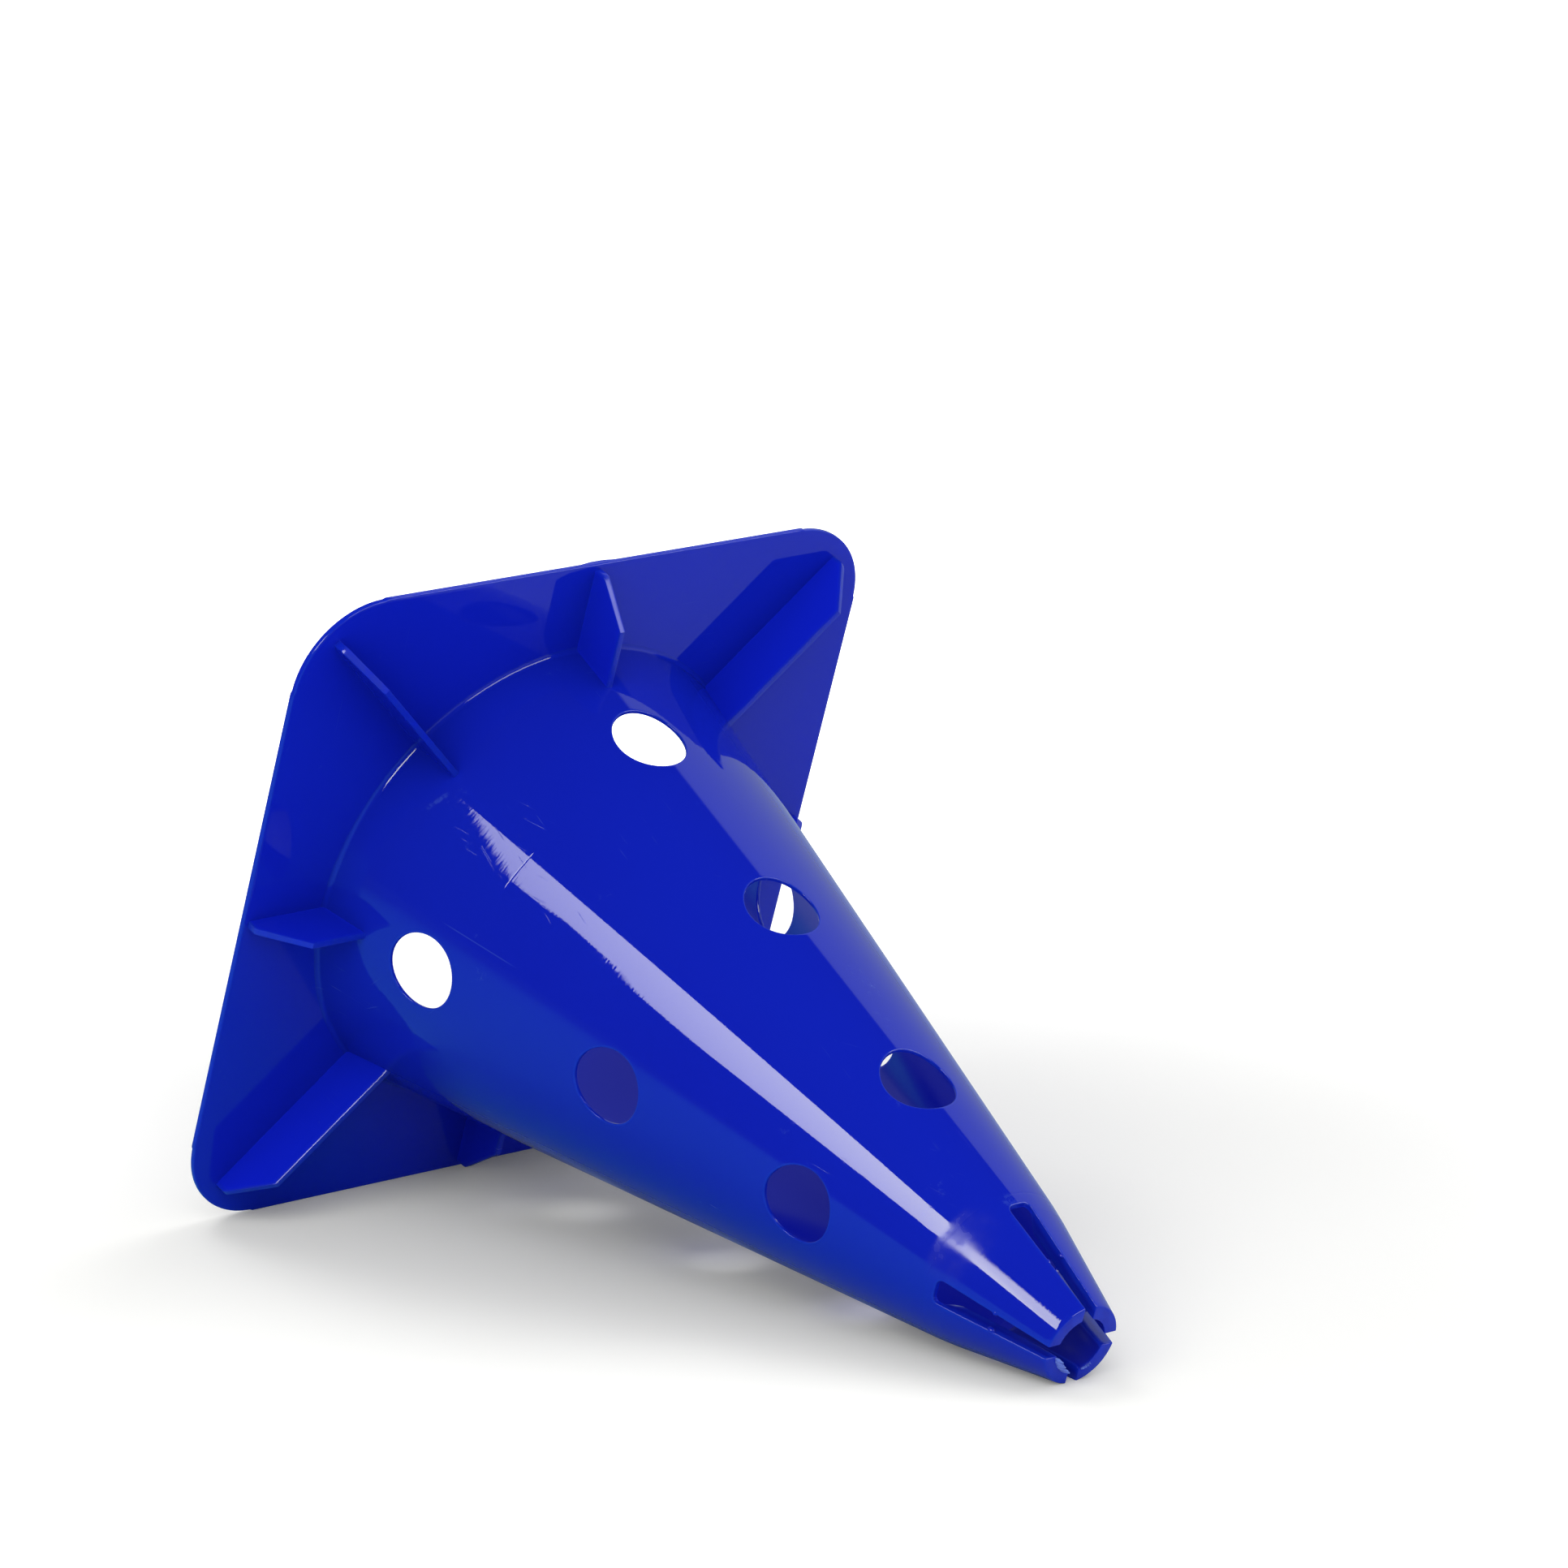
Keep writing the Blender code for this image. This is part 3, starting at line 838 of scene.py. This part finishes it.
def ring_line(tree, height, middle, half):
    """A thin line round the cone at one height."""
    away = times_plus(tree, height, 1 / half, -middle / half)
    return maths(tree, "EXPONENT", times(tree, away, away, -1.0))


def wall_marks(tree, where):
    """Masks of a dull rubbed zone at the shoulder, of two short creases, and of single whitened marks."""
    along = axes(tree, where)["Z"]
    height = times_plus(tree, noise(tree, where, *RUBBED_NOISE), RUBBED_WANDER, along)
    dull = times(
        tree,
        ramp(tree, height, *RUBBED_START),
        ramp(tree, height, *RUBBED_CLEARING),
        ramp(tree, noise(tree, where, *PATCHY_NOISE), *PATCHY),
        near_spot(tree, where, RUBBED_SPOT, outside=0.0180, within=0.0080),
    )
    arc = ring_line(tree, along, ARC_SPOT[2], ARC_HALF)
    arc = times(tree, arc, near_spot(tree, where, ARC_SPOT, outside=0.0085, within=0.0055))
    crease = maths(tree, "MAXIMUM", ring_line(tree, along, CREASE_HEIGHT, CREASE_HALF), arc)
    spot = near_spot(tree, where, WHITENED_SPOT, outside=0.0040, within=0.0015)
    whitened = maths(tree, "MAXIMUM", spot, straight_mark(tree, where, *FOOT_SMEAR))
    whitened = times(tree, whitened, ramp(tree, noise(tree, where, *GRAIN_NOISE), *WHITENED_GRAINS))
    hair = times(tree, straight_mark(tree, where, *HAIR_SCRATCH), HAIR_SHOWS)
    return dull, crease, maths(tree, "MAXIMUM", whitened, hair)


wall_plastic = blue_plastic(
    "cone_wall_plastic", wave=0.10, turning=0.005, scratched=1.0, rubbed=0.9, marked=wall_marks)
cone_wall = grown(build_wall(), ROLLED_WALL, wall_plastic)
face_outwards(cone_wall.data, 50)
finish_piece(cone_wall, "cone", "cone_body")


# Ribs. Eight thin webs stand on the plate and run into the cone's wall, four to the
# middles of the sides and four longer ones to the corners. Their outer ends are cut back
# at 45 degrees, they thin slightly towards the crest and flare a little where they root.

SIDES = ("lower", "far", "upper", "near")
CORNERS = ("lower_far", "upper_far", "upper_near", "lower_near")
RIB_CREST = 0.0205
RIB_CHAMFER = 0.0140
CHAMFER_SOFTNESS = 0.0012
SIDE_RIB_REACH = 0.1180
CORNER_RIB_REACH = 0.1505
ROOT_LENGTH = 0.0008
CROWDED_ALONG = 1.4
CROWDED_UP = 1.6


def decay(tree, distance, length):
    """Falls from 1 towards 0 over a length."""
    return maths(tree, "EXPONENT", times(tree, distance, -1.0 / length))


def ribs_tree():
    """One rib shaped on a grid between the wall and its cut-back end, set four times round the axis."""
    sizes = {
        "Reach": SIDE_RIB_REACH,
        "Crest": RIB_CREST,
        "Chamfer": RIB_CHAMFER,
        "Foot half thickness": 0.0013,
        "Crest half thickness": 0.0011,
        "Root flare": 0.00018,
        "Edge round": 0.0004,
        "First angle": 0.0,
        "Count": 4,
    }
    tree, given, out = geometry_group("ribs_round_cone", {**TAPERS, **sizes})
    block = add(tree, "GeometryNodeMeshCube", Size=(2.0, 2.0, 2.0),
                Vertices_X=44, Vertices_Y=7, Vertices_Z=20)
    grid = axes(tree, tree.nodes.new("GeometryNodeInputPosition").outputs["Position"])
    along = maths(tree, "POWER", times_plus(tree, grid["X"], 0.5, 0.5), CROWDED_ALONG)
    side = maths(tree, "SINE", times(tree, grid["Y"], QUARTER))
    up = maths(tree, "POWER", times_plus(tree, grid["Z"], 0.5, 0.5), CROWDED_UP)

    share = maths(tree, "DIVIDE", given["Edge round"], given["Crest half thickness"])
    past = minus(tree, maths(tree, "ABSOLUTE", side), minus(tree, 1.0, share))
    past = maths(tree, "DIVIDE", past, share, clamp=True)
    fall = maths(tree, "SQRT", minus(tree, 1.0, times(tree, past, past)), clamp=True)
    drop = times(tree, minus(tree, 1.0, fall), given["Edge round"])

    foot = PLATE_THICK - SINK
    tall = minus(tree, minus(tree, given["Crest"], drop), foot)
    height = times_plus(tree, up, tall, foot)
    shoulder = minus(tree, given["Crest"], given["Chamfer"])
    cut = maths(tree, "SMOOTH_MAX", minus(tree, height, shoulder), 0.0, CHAMFER_SOFTNESS)
    end = minus(tree, given["Reach"], cut)
    outer = minus(tree, end, drop)
    wall = wall_radius(tree, given, height)
    inner = minus(tree, wall, SINK)
    reach = times_plus(tree, along, minus(tree, outer, inner), inner)

    thinner = minus(tree, given["Crest half thickness"], given["Foot half thickness"])
    half = times_plus(tree, up, thinner, given["Foot half thickness"])
    at_plate = decay(tree, minus(tree, height, PLATE_THICK), ROOT_LENGTH)
    at_wall = decay(tree, minus(tree, reach, wall), ROOT_LENGTH)
    roots = maths(tree, "ADD", at_plate, at_wall)
    half = times_plus(tree, roots, given["Root flare"], half)

    near_top = minus(tree, given["Crest"], height)
    near_end = minus(tree, end, reach)
    near = maths(tree, "DIVIDE", maths(tree, "MINIMUM", near_top, near_end), RIM_WIDTH, clamp=True)
    mark = add(tree, "GeometryNodeStoreNamedAttribute", data_type="FLOAT", domain="POINT", Name="rim",
               Geometry=block.outputs["Mesh"], Value=minus(tree, 1.0, near))
    move = add(tree, "GeometryNodeSetPosition", Geometry=mark.outputs["Geometry"],
               Position=vector(tree, reach, times(tree, side, half), height))

    places = add(tree, "GeometryNodeMeshLine", Offset=ORIGIN, Count=given["Count"])
    number = tree.nodes.new("GeometryNodeInputIndex").outputs["Index"]
    turn = times_plus(tree, number, QUARTER, given["First angle"])
    spin = add(tree, "FunctionNodeEulerToRotation", Euler=vector(tree, 0.0, 0.0, turn))
    copies = add(tree, "GeometryNodeInstanceOnPoints", Points=places.outputs["Mesh"],
                 Instance=move.outputs["Geometry"], Rotation=spin.outputs["Rotation"])
    end_tree(tree, copies.outputs["Instances"], given, out)
    return tree


RIBS = ribs_tree()
# The ribs' blue is raised most by clear: a painted brightening that stands in for more light on them.
rib_plastic = blue_plastic(
    "rib_plastic", wave=0.06, turning=0.0, scratched=0.7, rubbed=1.0, worn=0.22, clear=1.45)


def build_ribs(name, reach, first_angle, nodes):
    ribs = mesh_piece(name, [], [])
    grown(ribs, RIBS, rib_plastic, Reach=reach, First_angle=first_angle)
    face_outwards(ribs.data, 40)
    finish_piece(ribs, "cone", *nodes)


build_ribs("side_ribs", SIDE_RIB_REACH, 0.0, [f"side_rib_{side}" for side in SIDES])
build_ribs("corner_ribs", CORNER_RIB_REACH, math.pi / 4, [f"corner_rib_{corner}" for corner in CORNERS])


# Gripping fingers. Four tapering slits split the steep tip into four sprung fingers with
# square faces. They are thin at the slits' roots, where they bend outwards, and thick
# above that, to close on a pole. Each starts at the wall's top, where its root meets the wall.

HEEL_THICK = 0.0063
HEEL_RISE = 0.0024
END_THICK = 0.0049
END_ROUND = 0.0004
FINGER_CELLS = 16
FINGER_PITCH = 0.0016
PALE_END_LENGTH = 0.0009
BITE_DEPTH = 0.0012
BITE_FOOT, BITE_RISE = 0.3015, 0.0020
BITE_MIDDLE, BITE_HALF = 0.06, 0.12


def slit_half(height):
    share = (height - WALL_TOP) / (TIP_HEIGHT - WALL_TOP)
    return SLIT_ROOT_HALF + (SLIT_TIP_HALF - SLIT_ROOT_HALF) * share


def finger_thickness(height):
    """Thin at the root, thickest just above it, then a little thinner towards the end."""
    rise = height - WALL_TOP
    share = (rise - HEEL_RISE) / (TIP_HEIGHT - WALL_TOP - HEEL_RISE)
    full = HEEL_THICK + (END_THICK - HEEL_THICK) * share ** 3
    return COLLAR_THICK + (full - COLLAR_THICK) * min(rise / HEEL_RISE, 1.0)


def finger_outline(height, inset, bitten):
    """A finger's cross-section from slit to slit: outside and inside points that share their ends."""
    thick = finger_thickness(height)
    half = slit_half(height) + inset
    corner = rim_section(HOLE_ROUND, thick)[:4]
    first = [(half, thick / 2, 0.0, FACE_RIM_MARK)]
    first += [(half + step, depth + inset, 0.0, mark) for step, depth, mark in reversed(corner)]
    arc = [(half + HOLE_ROUND, inset, i / FINGER_CELLS, 0.0) for i in range(1, FINGER_CELLS)]
    last = [(a, d, 1.0, mark) for a, d, _, mark in reversed(first)]
    outside = first + arc + last
    inside = []
    for across, depth, where, mark in outside[1:-1]:
        deep = thick - depth
        if bitten:
            ragged = ease((height - BITE_FOOT) / BITE_RISE) * ease(1 - abs(where - BITE_MIDDLE) / BITE_HALF)
            deep -= BITE_DEPTH * ragged * (0.7 + 0.3 * math.sin(where * 210 + height * 9000))
        inside.append((across, deep, where, mark))
    return outside, inside


def build_finger(index, corner):
    sheet = Sheet()
    heights = [(h, 0.0) for h in spaced(WALL_TOP, TIP_HEIGHT - END_ROUND, FINGER_PITCH)]
    for i in (1, 2, 3):
        angle = QUARTER * i / 3
        rise = END_ROUND * math.sin(angle)
        heights.append((TIP_HEIGHT - END_ROUND + rise, END_ROUND * (1 - math.cos(angle))))
    rows = []
    for height, inset in heights:
        outside, inside = finger_outline(height, inset, corner == "lower_far")
        # A finger's end counts as an edge, so it turns paler: partly wear, partly the painted edge highlight.
        worn = ease(1 - (TIP_HEIGHT - height) / PALE_END_LENGTH)
        first = [sheet.point(index, a, s, height, d, max(m, worn)) for a, d, s, m in outside]
        second = [sheet.point(index, a, s, height, d, max(m, worn)) for a, d, s, m in inside]
        rows.append((first, [first[0]] + second + [first[-1]]))
    for (first, second), (next_first, next_second) in zip(rows, rows[1:]):
        sheet.band(first, next_first)
        sheet.band(next_second, second)
    for first, second in (rows[0], rows[-1]):
        sheet.faces.append((first[0], first[1], second[1]))
        sheet.band(first[1:-1], second[1:-1])
        sheet.faces.append((first[-2], first[-1], second[-2]))
    finger = grown(sheet.piece(f"gripping_{corner}"), ROLLED_WALL, finger_plastic)
    face_outwards(finger.data, 50)
    return finger


# The fingers are thick, so their inside faces get a weaker painted glow.
finger_plastic = blue_plastic(
    "finger_plastic", wave=0.10, turning=0.011, scratched=1.0, rubbed=1.0, marked=wall_marks, through=0.25)
for index, corner in enumerate(CORNERS):
    finger = build_finger(index, corner)
    body = f"finger_{corner}"
    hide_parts(body)
    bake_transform(finger)


# Moulding marks. Broken stubs of the little bridges that joined the fingers across the
# slits, and ragged lips of flash left on the ends of the two lower fingers. Both are the
# same plastic, moulded with the fingers and riding on them.

TORN_BLUE = (0.1600, 0.2500, 0.660, 1.0)
FLASH_CELLS = 28
FLASH_ACROSS = 0.0024
TEAR_MIDDLE, TEAR_LEAST = 0.52, 0.12
TEAR_WAVES = ((0.30, 0.75, 0.9), (0.26, 1.7, 2.2), (0.14, 3.1, 0.0))


def stubs_tree():
    """Two rounded stubs for one finger, one on each of its slit faces, unevenly broken."""
    sizes = {
        "Stub height": 0.2832,
        "Stub size": 0.0014,
        "Unevenness": 0.0007,
        "Slit half width": 0.0033,
        "Depth": 0.0009,
        "First slit": 0,
        "Seed": 5,
    }
    tree, given, out = geometry_group("broken_bridge_stubs", {**TAPERS, **sizes})
    stub = add(tree, "GeometryNodeMeshIcoSphere", Radius=1.0, Subdivisions=3)
    ends = add(tree, "GeometryNodeMeshLine", Count=2, Offset=ORIGIN)
    number = tree.nodes.new("GeometryNodeInputIndex").outputs["Index"]

    def chance(low, high, extra):
        node = add(tree, "FunctionNodeRandomValue", data_type="FLOAT")
        fill(tree, [s for s in node.inputs if s.enabled and s.type == "VALUE"], (low, high))
        join(tree, maths(tree, "ADD", given["Seed"], extra), node.inputs["Seed"])
        return [s for s in node.outputs if s.enabled][0]

    shift = times(tree, chance(-1.0, 1.0, 0.0), given["Unevenness"])
    height = maths(tree, "ADD", given["Stub height"], shift)
    reach = minus(tree, wall_radius(tree, given, height), given["Depth"])
    sign = times_plus(tree, number, -2.0, 1.0)
    side = maths(tree, "ARCSINE", maths(tree, "DIVIDE", given["Slit half width"], reach))
    column = maths(tree, "ADD", number, given["First slit"])
    turn = times_plus(tree, column, QUARTER, times(tree, side, sign))
    move = add(tree, "GeometryNodeSetPosition", Geometry=ends.outputs["Mesh"],
               Position=round_axis(tree, reach, turn, height))
    size = times(tree, chance(0.75, 1.25, 3.0), given["Stub size"])
    flat = times(tree, size, 0.7)
    copies = add(tree, "GeometryNodeInstanceOnPoints", Points=move.outputs["Geometry"],
                 Instance=stub.outputs["Mesh"], Scale=vector(tree, flat, flat, size))
    end_tree(tree, copies.outputs["Instances"], given, out)
    return tree


def build_flash(corner, start, run, height):
    """A thin lip along part of the inner edge of a finger's end, torn to uneven heights."""
    index = CORNERS.index(corner)
    sheet = Sheet()
    stations = []
    for i in range(FLASH_CELLS + 1):
        share = start + run * i / FLASH_CELLS
        ends = min(i + 1.5, FLASH_CELLS - i) / 4
        tear = TEAR_MIDDLE + sum(much * math.sin(i * pace + shift) for much, pace, shift in TEAR_WAVES)
        tall = height * max(tear, TEAR_LEAST) * ease(ends)
        thin = 0.00035 + 0.00015 * math.sin(i * 2.3)
        lip = (
            (TIP_HEIGHT - 0.0003, END_THICK - 0.0011, 0.2),
            (TIP_HEIGHT + tall, END_THICK - thin - 0.0002, 1.0),
            (TIP_HEIGHT + tall * 0.9, END_THICK - 0.0001, 1.0),
            (TIP_HEIGHT - 0.0005, END_THICK - 0.0004, 0.2),
        )
        stations.append([sheet.point(index, FLASH_ACROSS, share, *point) for point in lip])
    for first, second in zip(stations, stations[1:]):
        sheet.band(first + first[:1], second + second[:1])
    sheet.faces += [tuple(stations[0]), tuple(stations[-1])]
    flash = grown(sheet.piece(f"torn_flash_{corner}"), ROLLED_WALL, torn_plastic)
    face_outwards(flash.data, 35, merge=0.000001)
    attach(flash, f"finger_{corner}")


STUBS = stubs_tree()
for index, corner in enumerate(CORNERS):
    stubs = mesh_piece(f"stubs_{corner}", [], [])
    grown(stubs, STUBS, finger_plastic, First_slit=index, Seed=5 + 4 * index)
    smooth(stubs.data, 60)
    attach(stubs, f"finger_{corner}")

torn_plastic = blue_plastic(
    "torn_plastic", wave=0.06, turning=0.010, scratched=1.0, rubbed=2.5, edge=TORN_BLUE)
build_flash("lower_near", start=0.02, run=0.76, height=0.0036)
build_flash("lower_far", start=0.06, run=0.34, height=0.0013)


# Studio. A white floor that keeps the soft shadow, a pale backdrop that ends in a straight
# top edge, a long cloth softbox with a cut corner on the near side that gives the streak,
# and the camera where the photograph's was.

WHITE = (1.0, 1.0, 1.0, 1.0)
FLOOR_HALF = 30
FLOOR_TONE = (0.82, 0.82, 0.82, 1.0)
FLOOR_SEEN = WHITE
# Painted light that camera rays see on the floor: this base, plus the ramps below by distance, Y and X,
# lightens its shadow in places.
FLOOR_PAINTED_LIGHT = 0.03
FLOOR_PAINTED_LIGHT_RAMPS = (0.20, 0.85, 0.97), (0.02, -0.10, 0.12), (-0.05, 0.15, 0.08)
FLOOR_DARKENS = (0.40, 2.20)
FLOOR_FAR = (-0.06, 0.01)
# The floor's tones seen only in reflections are painted: teal near the cone, a painted shade far away, and
# paler on the far side.
FLOOR_NEAR_MIRRORED = (0.09, 0.39, 0.58, 1.0)
FLOOR_DARK_MIRRORED = (0.04, 0.08, 0.10, 1.0)
FLOOR_FAR_MIRRORED = (0.36, 0.45, 0.60, 1.0)
BACKDROP_TONE = (0.84, 0.98, 1.0, 1.0)
BACKDROP_FACING = (-0.57, 0.82, 0.0)
BACKDROP_SIDE = (-0.05, 0.20)
BACKDROP_TOP = (0.755, 0.778, 1.0, 0.0)
BACKDROP_TONES = (-0.10, 0.70, 0.36, 0.68)
BACKDROP_SLANT = (1.10, 1.30, 1.0, 0.25)
DARK_CEILING = 0.02
PANEL_AIM = Vector((0.0, 0.0, 0.060))
SOFTBOX_DISTANCE = 1.10
SOFTBOX_RISE = math.radians(38.0)
SOFTBOX_SHAPE = (
    (-0.094, 0.168), (0.220, 0.168), (0.325, 0.020), (0.370, 0.080), (0.410, 0.140), (0.450, 0.210),
    (0.500, 0.210), (0.500, -0.280), (0.330, -0.250), (0.250, -0.215), (0.100, -0.205), (0.000, -0.210),
    (-0.052, -0.205), (-0.078, -0.170), (-0.070, -0.080), (-0.087, -0.050), (-0.106, -0.072),
    (-0.122, -0.075), (-0.112, -0.002), (-0.104, 0.066), (-0.097, 0.144),
)
PANEL_WARM = (1.0, 1.0, 0.74, 1.0)
PANEL_SLOPE = (-0.10, 0.28)
PANEL_DIMMING = (0.29, 0.34, 1.0, 0.80)
FRONT_AIM = (math.radians(22.0), math.radians(34.0))
FRONT_DISTANCE = 1.60
FRONT_SHAPE = ((-0.80, -0.30), (0.80, -0.30), (0.80, 0.30), (-0.80, 0.30))
FILL_LOBES = (
    (80.0, 55.0, 25.0, 2.3), (318.0, 40.0, 11.0, 2.4), (40.0, 30.0, 8.0, 1.35), (180.0, 55.0, 25.0, 3.4))
FILL_RISE = (0.35, 0.65)
FILL_OVERHEAD = 0.07
FILL_LOW = 0.51


def build_floor():
    corners = [(-FLOOR_HALF, -FLOOR_HALF, 0), (FLOOR_HALF, -FLOOR_HALF, 0),
               (FLOOR_HALF, FLOOR_HALF, 0), (-FLOOR_HALF, FLOOR_HALF, 0)]
    floor = mesh_piece("studio_floor", corners, [(0, 1, 2, 3)])
    material = bpy.data.materials.new("white_floor")
    material.use_nodes = True
    tree = material.node_tree
    shader = tree.nodes["Principled BSDF"]
    where = tree.nodes.new("ShaderNodeTexCoord").outputs["Object"]
    spot = axes(tree, where)
    away = vector_maths(tree, "DISTANCE", where)
    # Painted tones that only reflections see: teal near the cone, dark far away, paler on the far side.
    mirrored = blend_colour(tree, ramp(tree, away, *FLOOR_DARKENS), FLOOR_NEAR_MIRRORED, FLOOR_DARK_MIRRORED)
    mirrored = blend_colour(tree, ramp(tree, spot["Y"], *FLOOR_FAR), mirrored, FLOOR_FAR_MIRRORED)
    tone = blend_colour(tree, light_path(tree, "Is Camera Ray"), FLOOR_TONE, FLOOR_SEEN)
    tone = blend_colour(tree, light_path(tree, "Is Glossy Ray"), tone, mirrored)
    # Painted light for camera rays only, stronger away from the cone and towards the near and +X sides, which
    # lightens parts of the shadow.
    lift = FLOOR_PAINTED_LIGHT
    for value, (low, high, most) in zip((away, spot["Y"], spot["X"]), FLOOR_PAINTED_LIGHT_RAMPS):
        lift = maths(tree, "ADD", ramp(tree, value, low, high, end=most), lift)
    lift = times(tree, lift, light_path(tree, "Is Camera Ray"))
    give(tree, shader, Base_Color=tone, Roughness=0.9, Specular_IOR_Level=0.1,
         Emission_Color=WHITE, Emission_Strength=lift)
    floor.data.materials.append(material)


def direction(turn, rise):
    return Vector((math.cos(rise) * math.cos(turn), math.cos(rise) * math.sin(turn), math.sin(rise)))


def build_panel(name, turn, rise, distance, shape, left, right, matt_share):
    """A glowing cloth that mirrors whole in the plastic; matt surfaces get a share of its light."""
    towards = direction(turn, rise)
    sideways = Vector((-math.sin(turn), math.cos(turn), 0.0))
    upwards = towards.cross(sideways)
    middle = PANEL_AIM + distance * towards
    points = [middle + x * sideways + y * upwards for x, y in shape]
    box = mesh_piece(name, points, [tuple(range(len(points)))])
    material = bpy.data.materials.new(name + "_cloth")
    material.use_nodes = True
    tree = material.node_tree
    tree.nodes.clear()
    across = axes(tree, tree.nodes.new("ShaderNodeTexCoord").outputs["Object"])["X"]
    strength = times(
        tree,
        ramp(tree, across, *PANEL_SLOPE, left, right, kind="LINEAR"),
        ramp(tree, across, *PANEL_DIMMING),
        times_plus(tree, light_path(tree, "Is Glossy Ray"), 1 - matt_share, matt_share),
        maths(tree, "LESS_THAN", light_path(tree, "Glossy Depth"), 1.5),
    )
    colour = blend_colour(tree, ramp(tree, across, *PANEL_SLOPE), WHITE, PANEL_WARM)
    glow = add(tree, "ShaderNodeEmission", Color=colour, Strength=strength)
    add(tree, "ShaderNodeOutputMaterial", Surface=glow.outputs["Emission"])
    box.data.materials.append(material)
    box.visible_camera = False


def build_world():
    """White for the camera, soft fill for matt surfaces, and a backdrop and dark ceiling in reflections."""
    world = bpy.data.worlds.new("studio")
    bpy.context.scene.world = world
    world.use_nodes = True
    tree = world.node_tree
    sky = tree.nodes["Background"]
    where = tree.nodes.new("ShaderNodeTexCoord").outputs["Generated"]
    spot = axes(tree, where)
    backdrop = times(
        tree,
        ramp(tree, vector_maths(tree, "DOT_PRODUCT", where, BACKDROP_FACING), *BACKDROP_SIDE),
        ramp(tree, spot["Z"], *BACKDROP_TOP),
        ramp(tree, spot["Z"], *BACKDROP_TONES, kind="LINEAR"),
        ramp(tree, minus(tree, spot["Z"], spot["X"]), *BACKDROP_SLANT),
    )
    mirrored = maths(tree, "ADD", backdrop, DARK_CEILING)
    fill_light = ramp(tree, spot["Z"], *FILL_RISE, FILL_LOW, FILL_OVERHEAD)
    for turn, lift, tightness, strength in FILL_LOBES:
        aim = vector_maths(tree, "DOT_PRODUCT", where, direction(math.radians(turn), math.radians(lift)))
        lobe = maths(tree, "EXPONENT", times_plus(tree, aim, tightness, -tightness))
        fill_light = times_plus(tree, lobe, strength, fill_light)
    glossy = light_path(tree, "Is Glossy Ray")
    some = times_plus(tree, glossy, minus(tree, mirrored, fill_light), fill_light)
    strength = times_plus(tree, light_path(tree, "Is Camera Ray"), minus(tree, 1.0, some), some)
    give(tree, sky, Color=blend_colour(tree, glossy, WHITE, BACKDROP_TONE), Strength=strength)


def build_camera():
    data = bpy.data.cameras.new("camera")
    data.sensor_width = 36.0
    data.lens = 196.553
    data.clip_start, data.clip_end = 0.1, 100.0
    camera = bpy.data.objects.new("camera", data)
    camera.location = (2.104023, -1.740429, 0.827101)
    camera.rotation_euler = [math.radians(a) for a in (76.407000, -0.223245, 50.295946)]
    bpy.context.collection.objects.link(camera)
    bpy.context.scene.camera = camera


build_floor()
build_panel("softbox", -QUARTER, SOFTBOX_RISE, SOFTBOX_DISTANCE, SOFTBOX_SHAPE,
            left=6.6, right=13.2, matt_share=0.32)
build_panel("front_panel", *FRONT_AIM, FRONT_DISTANCE, FRONT_SHAPE, left=6.5, right=6.5, matt_share=0.0)
build_world()
build_camera()
bpy.context.scene.view_settings.view_transform = "Standard"
